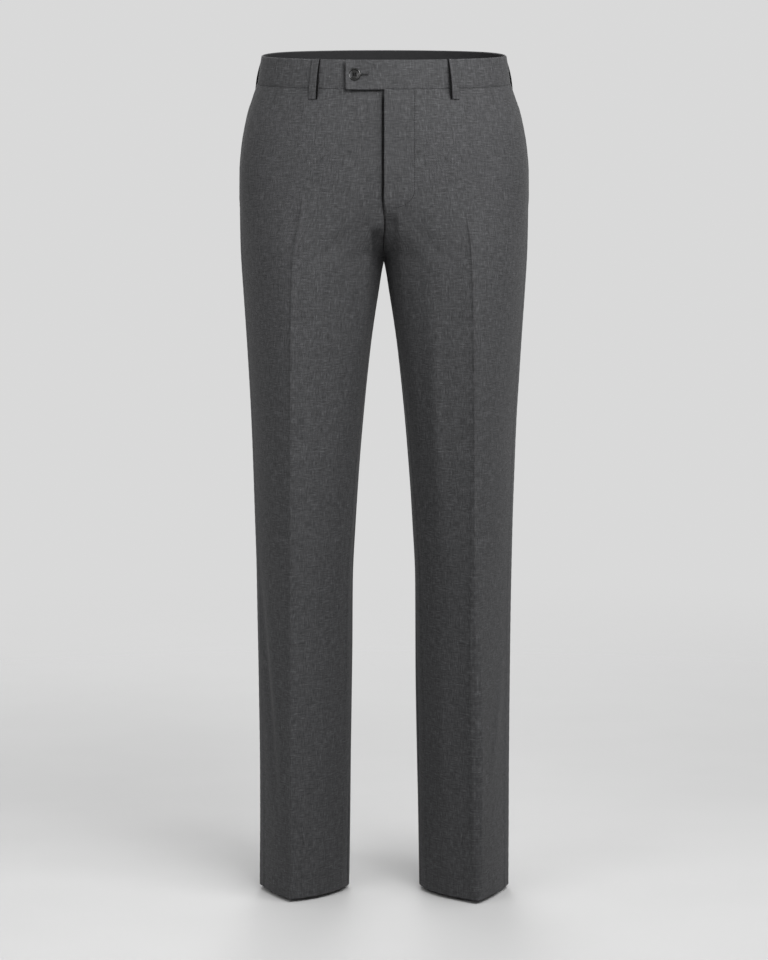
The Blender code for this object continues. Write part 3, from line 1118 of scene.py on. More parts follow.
CREASE_TABLES = {
    # height sharp rise inner outer steep
    (L, F): [
        Pressed(0, 1.3, 4.6, 24, 40, 4.0),
        Pressed(250, 1.5, 4.8, 22, 40, 6.2),
        Pressed(330, 1.7, 4.2, 16, 38, 5.6),
        Pressed(450, 1.9, 3.0, 12, 36, 1.6),
        Pressed(640, 2.0, 2.4, 8, 30, 0.8),
        Pressed(760, 2.0, 1.4, 7, 20, 0.3),
        Pressed(832, 1.6, 0.9, 7, 10, 0.0),
        Pressed(854, 0.0, 0.0, 6, 8, 0.0),
    ],
    (R, F): [
        Pressed(0, 0.9, 0.9, 6, 8),
        Pressed(150, 1.2, 1.0, 6, 8),
        Pressed(300, 1.5, 1.0, 6, 8),
        Pressed(420, 1.8, 1.2, 8, 8),
        Pressed(640, 2.0, 1.4, 9, 7),
        Pressed(800, 2.0, 1.2, 8, 6),
        Pressed(852, 1.7, 0.9, 6, 6),
        Pressed(872, 0.0, 0.0, 5, 6),
    ],
}
BACK_CREASES = [
    Pressed(0, 0.6, 0.9, 6, 6),
    Pressed(800, 0.6, 0.8, 6, 6),
    Pressed(862, 0.0, 0.0, 6, 6),
]


@dataclass(frozen=True)
class Relief:
    """How a panel's sewn and pressed cloth stands off its smooth form, in mm."""

    side: Side
    face: Face
    # how wide the crease's sharp edge is, and the steep slope inside it
    crease_sharp: float = 1.2
    crease_steep: float = 8.0
    seam_dip: float = 0.9
    seam_dip_width: float = 0.9
    allowance: float = 20.0
    allowance_rise: float = 0.6
    pucker: float = 0.10
    pucker_length: float = 13.0
    pucker_fade: float = 5.0
    pucker_drift: Span = (1.3, 41.0)
    # the pocket's mouth in the side seam, whose front edge stands over the back
    mouth_low: float = 858.0
    mouth_high: float = 984.0
    mouth_fade: Span = (3.0, 8.0)
    mouth_rise: float = 0.9
    mouth_rise_width: float = 9.0
    mouth_dip: float = 0.5
    mouth_dip_width: float = 6.0
    seat_dip: float = 0.9
    seat_dip_width: float = 2.2
    seat_fade: float = 6.0
    # the back's dart, from its foot up, leaning outwards
    dart_foot: float = 918.0
    dart_fade: float = 14.0
    dart_top: float = 16.0
    dart_lean: float = 0.05
    dart_dip: float = 1.0
    dart_dip_width: float = 0.9
    dart_rise: float = 0.5
    dart_rise_width: float = 7.0
    slow_waves: float = 0.22
    fine_waves: float = 0.05

    def heights(self, across: Array, from_side: Array, to_inner: Array, up: Array) -> Array:
        """Relief at each point of the panel.

        Args:
            across: Distance from the crease, positive inwards.
            from_side: Distance from the side seam.
            to_inner: Distance from the inseam or the middle line.
            up: Height.

        Returns:
            Distances along the normals, outwards.
        """
        side, face = self.side, self.face
        relief = self.crease(across, up)
        relief += self.seams(from_side, up, phase=1.7 * side.value + face.value)
        relief += self.seams(to_inner, up, phase=0.6 * side.value - face.value)
        relief += self.waves(across, up)
        for fold in FOLD_TABLE:
            if fold.side is side and fold.face is face:
                relief += self.fold(fold, across, up)
        before, after = self.mouth_fade
        mouth = smooth_step(self.mouth_low - before, self.mouth_low + after, up)
        mouth = mouth * (1 - smooth_step(self.mouth_high - after, self.mouth_high + before, up))
        if face is Face.FRONT:
            relief += mouth * self.mouth_rise * bell(from_side, self.mouth_rise_width)
        else:
            seat = smooth_step(CUT.fork - self.seat_fade, CUT.fork + self.seat_fade, up)
            relief -= self.seat_dip * seat * bell(to_inner, self.seat_dip_width)
            relief -= mouth * self.mouth_dip * bell(from_side, self.mouth_dip_width)
            relief += self.dart(across, up)
        return relief

    def crease(self, across: Array, up: Array) -> Array:
        """The pressed ridge, which fades out over the hips.

        Args:
            across: Distance from the crease, positive inwards.
            up: Height.

        Returns:
            The ridge's height at each point.
        """
        rows = CREASE_TABLES.get((self.side, self.face), BACK_CREASES)
        heights = [row.height for row in rows]
        columns = [np.interp(up, heights, [row[k] for row in rows]) for k in range(1, 6)]
        sharp, rise, inner, outer, steep = columns
        away = np.abs(across)
        ridge = sharp * np.exp(-away / self.crease_sharp)
        ridge += rise * np.exp(-away / np.where(across > 0, inner, outer))
        return ridge + steep * np.exp(-away / np.where(across > 0, self.crease_steep, outer))

    def seams(self, away: Array, up: Array, phase: float) -> Array:
        """A sewn edge: a dip at the seam, allowances pressed open behind, and slight puckers.

        Args:
            away: Distance from the seam.
            up: Height.
            phase: Where the puckers start.

        Returns:
            The relief at each point.
        """
        dip = -self.seam_dip * bell(away, self.seam_dip_width)
        step = smooth_step(self.allowance - 1, self.allowance + 1, away)
        under = self.allowance_rise * (1 - step)
        sway, sway_length = self.pucker_drift
        sway = sway * np.sin(up / sway_length + phase)
        beat = np.sin(2 * math.pi * up / self.pucker_length + phase + sway)
        pucker = self.pucker * beat * np.exp(-away / self.pucker_fade)
        return dip + under + pucker

    def waves(self, across: Array, up: Array) -> Array:
        """Slow unevenness that pressed cloth keeps.

        Args:
            across: Distance from the crease.
            up: Height.

        Returns:
            The relief at each point.
        """
        turn = 1.9 * self.side.value + 0.8 * self.face.value
        slow = np.sin(up / 83.0 + across / 61.0 + turn)
        slow += 0.6 * np.sin(up / 47.0 - across / 38.0 + 2.3 * turn)
        fine = np.sin(up / 23.0 + across / 15.0 + 3.1 * turn) * np.sin(up / 61.0 + turn)
        return self.slow_waves * slow + self.fine_waves * fine

    def dart(self, across: Array, up: Array) -> Array:
        """A sewn dart from the waist seam down the back.

        Args:
            across: Distance from the crease.
            up: Height.

        Returns:
            The relief at each point.
        """
        centre = self.dart_top + self.dart_lean * (CUT.waist_seam - up)
        fade = smooth_step(self.dart_foot, self.dart_foot + self.dart_fade, up)
        line = -self.dart_dip * bell(across - centre, self.dart_dip_width)
        rise = self.dart_rise * bell(across - centre, self.dart_rise_width)
        return fade * (line + rise)

    @staticmethod
    def fold(fold: Fold, across: Array, up: Array) -> Array:
        """One soft ridge or trough, fading at both its ends.

        Args:
            fold: The ridge or trough.
            across: Distance from the crease, positive inwards.
            up: Height.

        Returns:
            The relief at each point.
        """
        run = np.array([fold.to_across - fold.across, fold.to_height - fold.height])
        length = np.linalg.norm(run)
        run = run / length
        dx, dy = across - fold.across, up - fold.height
        along = dx * run[0] + dy * run[1]
        away = -dx * run[1] + dy * run[0]
        share = np.clip(along / length, 0, 1)
        past = along - share * length
        fade = np.sin(math.pi * (share * 0.9 + 0.05))
        return fold.depth * fade * np.exp(-((away / fold.width) ** 2) - (past / fold.width) ** 2)


# Sub-assemblies.


@dataclass
class Panels:
    """The two fronts and the two backs, from the waist seam to the hems."""

    finishes: Finishes
    row_step: float = 3.6
    fork_rows: int = 32
    fork_ease: float = 0.7
    # columns outside and inside the crease, and roughly how long each of them is
    outer_columns: int = 38
    outer_length: float = 100.0
    inner_columns: int = 52
    inner_length: float = 108.0
    crowding: float = 0.55
    edge_steps: tuple[float, ...] = (0.0, 0.35, 0.9, 1.8)
    hem_depth: float = 38.0
    hem_extra: float = 1.1
    gap: float = 0.02
    # the hollow beside the middle seam at the fork: its walls' distance from the
    # middle at some heights, and for each side how deep it is, how far the cloth
    # beyond the wall stands out, and where it ends upwards
    wall_heights: tuple[float, ...] = (600.0, 660.0, 738.0, 791.0, 842.0)
    wall_reach: tuple[float, ...] = (40.0, 31.0, 20.5, 16.5, 15.5)
    wall_width: float = 1.3
    hollow_left: tuple[float, float, float] = (7.0, 1.6, 850.0)
    hollow_right: tuple[float, float, float] = (11.0, 6.0, 832.0)
    hollow_fade: float = 16.0
    hollow_from: float = 675.0
    hollow_depths: Span = (8.0, 55.0)
    brow_from: Span = (640.0, 700.0)
    brow_to: Span = (790.0, 826.0)
    brow_width: float = 13.0
    brow_edge: Span = (-2.5, 0.5)
    # the left front's lap over the right front at the fly
    fly_curl: float = 4.8
    fly_curl_width: float = 11.0
    fly_back: float = 0.35
    fly_back_width: float = 3.0
    fly_well: float = 5.0
    fly_well_edges: Span = (-3.2, -0.8)
    # the groove of the middle seam below the fly
    groove: float = 2.6
    groove_width: float = 1.3
    groove_fade: float = 8.0
    # the right front's top, tucked in under the tab: how far, over what height, and
    # between which x it ends towards the middle
    tab_tuck: float = 3.2
    tuck_fade: Span = (8.0, 2.5)
    tuck_end: Span = (-4.0, -2.0)

    def build(self) -> list[Piece]:
        """Builds all four panels, each in place of its solid."""
        return [self.panel(side, face) for side in Side for face in Face]

    def rows(self) -> list[Span]:
        """Heights of the rows at the crease and at the inner edge.

        Returns:
            Both heights of each row, from the hem up.
        """
        body = np.linspace(self.edge_steps[-1], CUT.fork, round(CUT.fork / self.row_step))[1:-1]
        rows = [(height, height) for height in [*self.edge_steps, *body]]
        rise = CUT.fly_end - CUT.fork
        for step in range(self.fork_rows + 1):
            t = step / self.fork_rows
            rows.append((CUT.fork + rise * t, CUT.fork + rise * t**3))
        top = CUT.waist_seam - CUT.gap / 2
        count = round((top - CUT.fly_end) / self.row_step)
        above = list(np.linspace(CUT.fly_end, top - self.edge_steps[-1], count))[1:]
        above += [top - step for step in reversed(self.edge_steps[:-1])]
        return rows + [(height, height) for height in above]

    def stations(self) -> Pair:
        """Stations of the outer and the inner columns, closer together at seams and crease.

        Returns:
            The outer stations from 0 to 1, and the inner ones from there to 2.
        """
        outer = self.spaced(self.outer_columns)
        close = np.array(self.edge_steps[1:]) / self.outer_length
        outer = np.unique(np.concatenate([outer, close, 1 - close[:2]]))
        inner = self.spaced(self.inner_columns)
        close = np.array(self.edge_steps[1:]) / self.inner_length
        inner = np.unique(np.concatenate([inner, 1 - close, close[:2]]))
        return outer, 1 + inner[1:]

    def spaced(self, columns: int) -> Array:
        """Shares from 0 to 1, closer together at both ends."""
        t = np.linspace(0, 1, columns + 1)
        return t - self.crowding * np.sin(2 * math.pi * t) / (2 * math.pi)

    def panel(self, side: Side, face: Face) -> Piece:
        """One panel: its form, its relief and its lap over the fly.

        Args:
            side: The panel's side.
            face: The panel's face.

        Returns:
            The finished panel.
        """
        points, normals, crease = self.form_grid(side, face)
        walked = walked_along(points)
        across = walked - walked[:, crease : crease + 1]
        up = points[..., 2]
        to_inner = walked[:, -1:] - walked
        heights = Relief(side, face).heights(across, walked, to_inner, up)
        if face is Face.FRONT:
            self.sink_fork(side, points)
            if side is Side.LEFT:
                self.raise_fly(points)
            else:
                self.tuck_under(points, np.array(self.rows())[:, 0])
        surface = points + normals * heights[..., None]
        self.meet(side, face, surface)
        turned = 1 - smooth_step(self.hem_depth - 1, self.hem_depth + 0.5, up)
        inside = surface - normals * (CUT.cloth + self.hem_extra * turned)[..., None]
        grain = np.stack([across, up], -1) * MM
        flip = (side.value * face.value) > 0
        name = f"{face.word}_{side.word}"
        piece = wall_mesh(f"{name}_cloth", surface, inside, grain, self.finishes.worsted, flip)
        return settle(piece, name)

    def form_grid(self, side: Side, face: Face) -> tuple[Array, Array, int]:
        """A panel's points and normals on the smooth form, and its crease's column.

        Args:
            side: The panel's side.
            face: The panel's face.

        Returns:
            Points and normals by row and column, and the crease's column.
        """
        outer, inner = self.stations()
        stations = np.concatenate([outer, inner])
        crease = len(outer) - 1
        points, normals = [], []
        fork_row = np.abs(FORM.half_section(side, face, CUT.fork, stations, self.gap)[0][:, 0])
        for crease_height, edge_height in self.rows():
            row, away = FORM.half_section(side, face, crease_height, stations, self.gap)
            if crease_height != edge_height:
                share = (crease_height - CUT.fork) / (CUT.fly_end - CUT.fork)
                eased = smooth_step(0.0, self.fork_ease, share)
                for column in range(crease + 1, len(stations)):
                    station = stations[column]
                    height = crease_height + (edge_height - crease_height) * (station - 1) ** 2
                    row[column], away[column] = FORM.point(side, face, height, station, self.gap)
                    if face is Face.FRONT and eased < 1:
                        x = fork_row[column] + (abs(row[column, 0]) - fork_row[column]) * eased
                        row[column], away[column] = FORM.front_point(height, side.value * x)
            points.append(row)
            normals.append(away)
        return np.array(points), np.array(normals), crease

    def meet(self, side: Side, face: Face, surface: Array) -> None:
        """Brings the edges that are joined at the middle onto the middle plane, in a groove.

        Args:
            side: The panel's side.
            face: The panel's face.
            surface: The panel's points, changed in place.
        """
        edge = surface[:, -1, 2]
        joined = edge > CUT.fork + 1
        if face is Face.FRONT:
            fade = smooth_step(CUT.fly_end, CUT.fly_end + self.groove_fade, surface[..., 2])
            groove = self.groove * (1 - fade) * bell(surface[..., 0], self.groove_width)
            surface[joined, :, 1] += groove[joined]
            joined &= edge < CUT.fly_end - 6
        kept = np.maximum(side.value * surface[joined, :, 0], 0)
        kept[:, -1] = 0
        surface[joined, :, 0] = side.value * kept

    def tuck_under(self, points: Array, heights: Array) -> None:
        """Turns the right front's edge in at the fly's opening, and its top in under the tab.

        Args:
            points: The right front's points, changed in place.
            heights: The rows' heights.
        """
        across = points[..., 0]
        points[..., 1] += fly_well(across, heights[:, None], self.fly_well, *self.fly_well_edges)
        start, full = self.tuck_fade
        near = smooth_step(CUT.waist_seam - start, CUT.waist_seam - full, heights)[:, None]
        under = smooth_step(-CUT.tab_reach - 2, -CUT.tab_reach + 1, across)
        under = under * (1 - smooth_step(*self.tuck_end, across))
        points[..., 1] += self.tab_tuck * near * under

    def sink_fork(self, side: Side, points: Array) -> None:
        """Sinks the cloth beside the middle seam at the fork, between walls that open downwards.

        Args:
            side: The front's side.
            points: The front's points, changed in place.
        """
        up = points[..., 2]
        reach = np.abs(points[..., 0])
        wall = np.interp(up, self.wall_heights, self.wall_reach)
        sink, brow, top = self.hollow_left if side is Side.LEFT else self.hollow_right
        deep = 1 - smooth_step(top - self.hollow_fade, top, up)
        deep = deep * smooth_step(self.hollow_from, CUT.fork, up)
        band = 1 - smooth_step(wall - self.wall_width, wall + self.wall_width, reach)
        kept = smooth_step(*self.hollow_depths, -points[..., 1])
        points[..., 1] += sink * deep * band * kept
        beyond = np.exp(-np.maximum(reach - wall, 0) / self.brow_width)
        low = smooth_step(*self.brow_from, up) * (1 - smooth_step(*self.brow_to, up))
        edge = smooth_step(wall + self.brow_edge[0], wall + self.brow_edge[1], reach)
        points[..., 1] -= brow * low * beyond * edge

    @staticmethod
    def raised(height: Amount) -> Amount:
        """Share of the fly's lift at a height."""
        return smooth_step(CUT.fly_end - CUT.fly_rise / 2, CUT.fly_end + CUT.fly_rise, height)

    def raise_fly(self, points: Array) -> None:
        """Raises the left front over the fly shield and laps its edge over the right front.

        Args:
            points: The left front's points, changed in place.
        """
        edge = points[:, -1, 2]
        raised = self.raised(edge)
        lapped = smooth_step(CUT.fly_end + CUT.fly_rise, CUT.fly_end + 2 * CUT.fly_rise, edge)
        curl = self.fly_curl * (1 - smooth_step(0.0, self.fly_curl_width, points[..., 0]))
        points[..., 1] -= raised[:, None] * lift(points[..., 0])
        points[..., 1] -= raised[:, None] * curl
        near = 1 - smooth_step(0.0, self.fly_back_width, points[..., 0])
        points[..., 0] += lapped[:, None] * near * self.fly_back


def fly_well(across: Array, height: Array, depth: float, right: float, left: float) -> Array:
    """How far cloth is let in beside the fly's opening, full at left and none at right."""
    open_here = smooth_step(CUT.fly_end, CUT.fly_end + CUT.fly_open, height)
    return depth * open_here * smooth_step(right, left, across)


def dimple(points: Array) -> Array:
    """How far the button pulls the band in at each point.

    Args:
        points: Points of the band, in mm.

    Returns:
        Mm inwards at each.
    """
    dx = points[..., 0] - CUT.button_x
    dz = points[..., 2] - FORM.front_point(CUT.hold, CUT.button_x)[0][2]
    wide = np.where(dx < 0, CUT.pull_wide * CUT.pull_outer_share, CUT.pull_wide)
    return CUT.pull * np.exp(-((dx / wide) ** 2) / 2 - ((dz / CUT.pull_high) ** 2) / 2)


@dataclass
class Waistband:
    """Two halves of the waistband, the left one with the tab, and their facings."""

    finishes: Finishes
    back_steps: int = 44
    front_steps: int = 34
    fine_step: float = 2.4
    fullness: float = 0.35
    # the tab hangs and stands off a little, and its end curls out
    tab_drop: float = 0.5
    tab_lift: float = 1.7
    tab_lift_high: float = 14.0
    tab_lift_end: Span = (-6.0, 4.0)
    tab_curl: float = 3.4
    tab_curl_from: float = -33.0
    # the right half is pressed in just past the tab's end
    tab_groove: float = 3.0
    tab_groove_width: float = 2.0
    tab_groove_past: float = 0.8
    back_rise: float = 1.0
    back_rise_by: float = 70.0
    facing_rows: int = 9
    facing_wide: float = 0.032
    facing_inset: Span = (1.0, 1.3)
    ripple: float = 0.12
    end_round: float = 0.4
    end_narrow: tuple[float, float, float] = (0.02, 0.35, 0.02)

    def build(self) -> list[Piece]:
        """Builds both halves and both facings, each in place of its solid.

        Returns:
            The four pieces.
        """
        made = []
        ends = ((Side.LEFT, CUT.tab_reach, -CUT.lift_full), (Side.RIGHT, CUT.underlap, -CUT.gap))
        for side, end, facing_end in ends:
            made += [self.half(side, end), self.facing(side, facing_end)]
        return made

    def walk(self, side: Side, height: float, front_end: float) -> Pair:
        """Points and normals round half the band at a height, from the middle of the back.

        Args:
            side: The half's side.
            height: The height.
            front_end: How far it goes past the middle of the front.

        Returns:
            The points and the normals.
        """
        behind = np.linspace(2, 0, self.back_steps + 1)[:-1]
        before = np.linspace(0, 1, self.front_steps + 1)[:-1]
        back = FORM.half_section(side, Face.BACK, height, behind)
        front = FORM.half_section(side, Face.FRONT, height, before)
        start = abs(FORM.point(side, Face.FRONT, height, 1.0)[0][0])
        count = round((BODY_TOP.crease + front_end) / self.fine_step)
        across = np.linspace(start, -front_end, count + 1)
        rest = FORM.front_row(height, side.value * across)
        points = np.concatenate([back[0], front[0], rest[0]])
        normals = np.concatenate([back[1], front[1], rest[1]])
        points[:, 1] += np.where(points[:, 1] < 0, dimple(points), 0)
        return points, normals

    def profile(self) -> list[Span]:
        """Height above the seam and distance from the form, once round the band's section.

        Returns:
            The section's corners, outside first.
        """
        high, thick, gap = CUT.band_height, CUT.cloth, CUT.gap / 2
        outside = [(gap, -0.75), (gap + 0.25, -0.25), (gap + 0.9, 0.0)]
        outside += [(gap + 3, self.fullness * 0.7)]
        outside += [(high * share, self.fullness) for share in (0.3, 0.5, 0.7)]
        outside += [(high - 3, self.fullness * 0.6), (high - 1.1, 0.1)]
        outside += [(high - 0.35, -0.15), (high, -0.75)]
        inside = [(high - 0.35, -thick + 0.15), (high - 1.1, -thick), (high * 0.66, -thick)]
        inside += [(high * 0.33, -thick), (gap + 0.9, -thick), (gap + 0.25, -thick + 0.2)]
        return outside + inside

    def half(self, side: Side, front_end: float) -> Piece:
        """One half of the waistband, swept round from the middle of the back.

        Args:
            side: The half's side.
            front_end: How far it goes past the middle of the front.

        Returns:
            The finished half.
        """
        columns = []
        for above, distance in self.profile():
            points, normals = self.walk(side, CUT.waist_seam + above, front_end)
            if side is Side.LEFT:
                self.lap(points, above)
            else:
                points[:, 1] += self.beside_tab(points)
            points[:, 2] += self.raised_back(points, above)
            columns.append(points + normals * distance)
        rings = np.swapaxes(np.array(columns), 0, 1)
        rings = self.round_ends(rings)
        walked = walked_along(rings.mean(axis=1))
        along = np.broadcast_to(walked[:, None], rings.shape[:2])
        grain = np.stack([rings[..., 2], along], -1) * MM
        name = f"waistband_{side.word}"
        piece = sweep_mesh(f"{name}_cloth", rings, grain, self.finishes.worsted)
        return settle(piece, name)

    def lap(self, points: Array, above: float) -> None:
        """Raises the left half's front over the fly shield, and curls the tab's end out.

        Args:
            points: The left half's points at one height, changed in place.
            above: That height above the seam.
        """
        front = points[:, 1] < 0
        raised = lift(points[:, 0])
        curl = self.tab_curl * (1 - smooth_step(-CUT.tab_reach, self.tab_curl_from, points[:, 0]))
        points[front, 1] -= (raised + curl)[front]
        low = 1 - smooth_step(0, self.tab_lift_high, above)
        over = low * np.where(front, 1 - smooth_step(*self.tab_lift_end, points[:, 0]), 0)
        points[:, 1] -= self.tab_lift * over
        points[:, 2] -= self.tab_drop * over

    def beside_tab(self, points: Array) -> Array:
        """How far the right half is pressed in along the tab's end."""
        near = bell(points[:, 0] + CUT.tab_reach + self.tab_groove_past, self.tab_groove_width)
        return np.where(points[:, 1] < 0, self.tab_groove * near, 0)

    def raised_back(self, points: Array, above: float) -> Array:
        """How much higher the band's top stands at the back."""
        behind = smooth_step(0, self.back_rise_by, points[:, 1])
        return self.back_rise * above / CUT.band_height * behind

    def round_ends(self, rings: Array) -> Array:
        """Adds a narrower ring at each end, so that the ends turn over softly.

        Args:
            rings: The band's rings.

        Returns:
            The same rings with one more at each end.
        """
        ends = []
        for ring, neighbour in ((rings[0], rings[1]), (rings[-1], rings[-2])):
            outward = unit(ring.mean(axis=0) - neighbour.mean(axis=0))
            narrower = ring + (ring.mean(axis=0) - ring) * np.array(self.end_narrow)
            ends.append(narrower + outward * self.end_round)
        return np.concatenate([ends[0][None], rings, ends[1][None]])

    def facing(self, side: Side, front_end: float) -> Piece:
        """The facing inside half of the waistband.

        Args:
            side: The half's side.
            front_end: How far it goes past the middle of the front.

        Returns:
            The finished facing.
        """
        rows, rows_inside = [], []
        foot, top = self.facing_inset
        for height in np.linspace(CUT.waist_seam + foot, CUT.band_top - top, self.facing_rows):
            points, normals = self.walk(side, height, front_end)
            points[0, 0] = side.value * 0.005
            points[:, 2] += self.raised_back(points, height - CUT.waist_seam)
            if side is Side.RIGHT:
                points[:, 1] += self.beside_tab(points)
            ripple = self.ripple * np.sin(points[:, 0] / 3.7 + height / 9.0)
            rows.append(points - normals * (CUT.layer + ripple)[:, None])
            rows_inside.append(points - normals * (CUT.layer + CUT.facing + ripple)[:, None])
        outer, inner = np.array(rows), np.array(rows_inside)
        walked = walked_along(outer)
        grain = np.stack([walked, outer[..., 2]], -1) * MM
        name = f"band_facing_{side.word}"
        flip = side is Side.RIGHT
        piece = wall_mesh(f"{name}_cloth", outer, inner, grain, self.finishes.facing, flip)
        piece.data.set_sharp_from_angle(angle=math.radians(35))
        return settle(piece, name)


@dataclass
class BeltLoops:
    """Five folded loops, stitched down at both ends."""

    finishes: Finishes
    steps: int = 40
    edge: float = 0.55
    flat_wide: float = 0.0108
    # how the ends turn under: over what length, how far, and how much thinner
    turn: float = 1.2
    turn_fall: float = 0.9
    turn_thin: float = 0.45
    # how far each kind of loop stands above the band, and how the front ones lean
    lean_rise: float = 1.6
    front_top: float = 0.2
    side_top: float = -1.6
    back_top: float = -0.6
    # overcast stitches in near-black thread, painted shadow of the gap under each loop's raised
    # edge: their step, radius, slant, and their widths along the loop
    overcast_step: float = 0.62
    overcast_radius: float = 0.34
    overcast_slant: float = 0.5
    overcast_places: tuple[float, ...] = (0.0, 0.12, 0.4, 0.8, 1.0)
    overcast_widths: tuple[float, ...] = (2.0, 2.6, 2.7, 1.7, 1.2)

    def build(self) -> list[Piece]:
        """Builds the two front, the two side and the back loop.

        Returns:
            Each loop followed by its overcast stitches, which paint the shadow beside it.
        """
        made = []
        for side in Side:
            front = self.at_station(side, Face.FRONT, 1.0)
            name = f"belt_loop_front_{side.word}"
            made += self.loop(name, front, side.value, self.lean_rise, self.front_top)
            beside = self.at_station(side, Face.BACK, CUT.side_loop)
            name = f"belt_loop_side_{side.word}"
            made += self.loop(name, beside, side.value, 0.0, self.side_top)
        made += self.loop("belt_loop_back", self.at_back, 1, 0.0, self.back_top)
        return made

    @staticmethod
    def at_station(side: Side, face: Face, station: float) -> Place:
        """A loop's middle line at a station."""
        return lambda height: FORM.point(side, face, height, station)

    @staticmethod
    def at_back(height: float) -> Pair:
        """A loop's middle line at the middle of the back."""
        return FORM.point(Side.LEFT, Face.BACK, height, 2.0, 0)[0], np.array([0, 1.0, 0])

    def loop(
        self, name: str, place: Place, lean: int, lean_rise: float, top_rise: float
    ) -> list[Piece]:
        """One loop: a strip with rounded edges whose ends are folded under, and near-black
        overcasting on one edge, painted shadow of the gap there.

        Args:
            name: The loop's name.
            place: Gives the middle line's point and normal at a height.
            lean: Which edge gets the painted-shadow overcasting, as a sign across the strip.
            lean_rise: How much further that edge stands off than the other.
            top_rise: How far the loop stands above the waistband.

        Returns:
            The strip and its overcasting, a painted shadow.
        """
        low, high = place(CUT.waist_seam - CUT.loop_drop), place(CUT.band_top)
        normal = low[1]
        foot = low[0] + normal * (CUT.gap + CUT.loop_thick)
        head = high[0] + high[1] * (CUT.gap + CUT.loop_thick) + np.array([0, 0, top_rise])
        across = np.cross(normal, [0, 0, 1.0])
        length = np.linalg.norm(head - foot)
        half = CUT.loop_width / 2
        rings, grain, edge = [], [], []
        for step in range(self.steps + 1):
            share = 0.5 - 0.5 * math.cos(math.pi * step / self.steps)
            end = min(share, 1 - share) * length
            fall = self.turn * (1 - math.sqrt(max(0.0, 1 - (1 - min(end / self.turn, 1.0)) ** 2)))
            fall *= self.turn_fall
            centre = foot + (head - foot) * share
            centre = centre + normal * (CUT.loop_bow * math.sin(math.pi * share) - fall)
            section = self.section(CUT.loop_thick - min(fall, CUT.loop_thick * self.turn_thin))
            rise = lean_rise * lean * math.sin(math.pi * share) ** 0.5 / CUT.loop_width
            edge.append(centre + lean * across * half + normal * rise * half * lean)
            rings.append([centre + across * x + normal * (z + rise * x) for x, z in section])
            grain.append([(x + 0.5, share * length) for x, z in section])
        grain_map = np.array(grain) * MM
        piece = sweep_mesh(f"{name}_cloth", np.array(rings), grain_map, self.finishes.worsted)
        settle(piece, name)
        edge_painted_shadow = self.overcast(f"{name}_overcast", np.array(edge), lean * across, normal)
        return [piece, edge_painted_shadow]

    def overcast(self, name: str, edge: Array, outward: Array, normal: Array) -> Piece:
        """Close near-black stitches along one raw edge at the back of the loop, painted shadow of
        the gap beside that edge.

        Args:
            name: The piece's name.
            edge: Points along the edge.
            outward: The direction out from the strip.
            normal: The direction off the cloth.

        Returns:
            The stitches.
        """
        walked = walked_along(edge)
        runs = []
        for at in np.arange(1.0, walked[-1] - 1.0, self.overcast_step):
            marks = (at, at + self.overcast_slant)
            here, there = np.stack([np.interp(marks, walked, column) for column in edge.T], 1)
            back = here - normal * (CUT.loop_thick - 0.35)
            wide = np.interp(at / walked[-1], self.overcast_places, self.overcast_widths)
            inner = back - outward * 0.5
            outer = back + outward * (wide - 0.2) + normal * 0.1
            over = there - normal * (CUT.loop_thick - 0.1) + outward * wide
            runs.append([inner, outer, over])
        return tubes(name, runs, self.overcast_radius, self.finishes.dark_thread_and_painted_shadow)

    def section(self, thick: float) -> list[Span]:
        """The strip's section: flat, with rounded edges and a shallow groove beside each.

        Args:
            thick: The strip's thickness.

        Returns:
            Places across and off the strip.
        """
        half, edge, inside = CUT.loop_width / 2, self.edge, -thick
        right = [(half - 2.2, 0.0), (half - 1.3, -0.14), (half - edge, -0.03), (half - 0.12, -0.30)]
        right += [(half, inside / 2), (half - 0.12, inside + 0.30), (half - edge, inside)]
        left = [(-x, z) for x, z in reversed(right)]
        return left[4:] + [(0.0, 0.05)] + right + left[:4]


class Seat(NamedTuple):
    """The middle of the button's underside, and the button's three directions."""

    middle: Array
    axis: Array
    across: Array
    upward: Array

    def ring(self, centre: Array, radius: float, height: float, sides: int) -> Array:
        """A ring of points round the axis, raised by a height along it.

        Args:
            centre: The ring's middle.
            radius: Its radius.
            height: How far it is raised.
            sides: How many points it has.

        Returns:
            The points.
        """
        angles = 2 * math.pi * np.arange(sides) / sides
        ring = centre + self.axis * height
        ring = ring + np.outer(np.cos(angles), self.across * radius)
        return ring + np.outer(np.sin(angles), self.upward * radius)


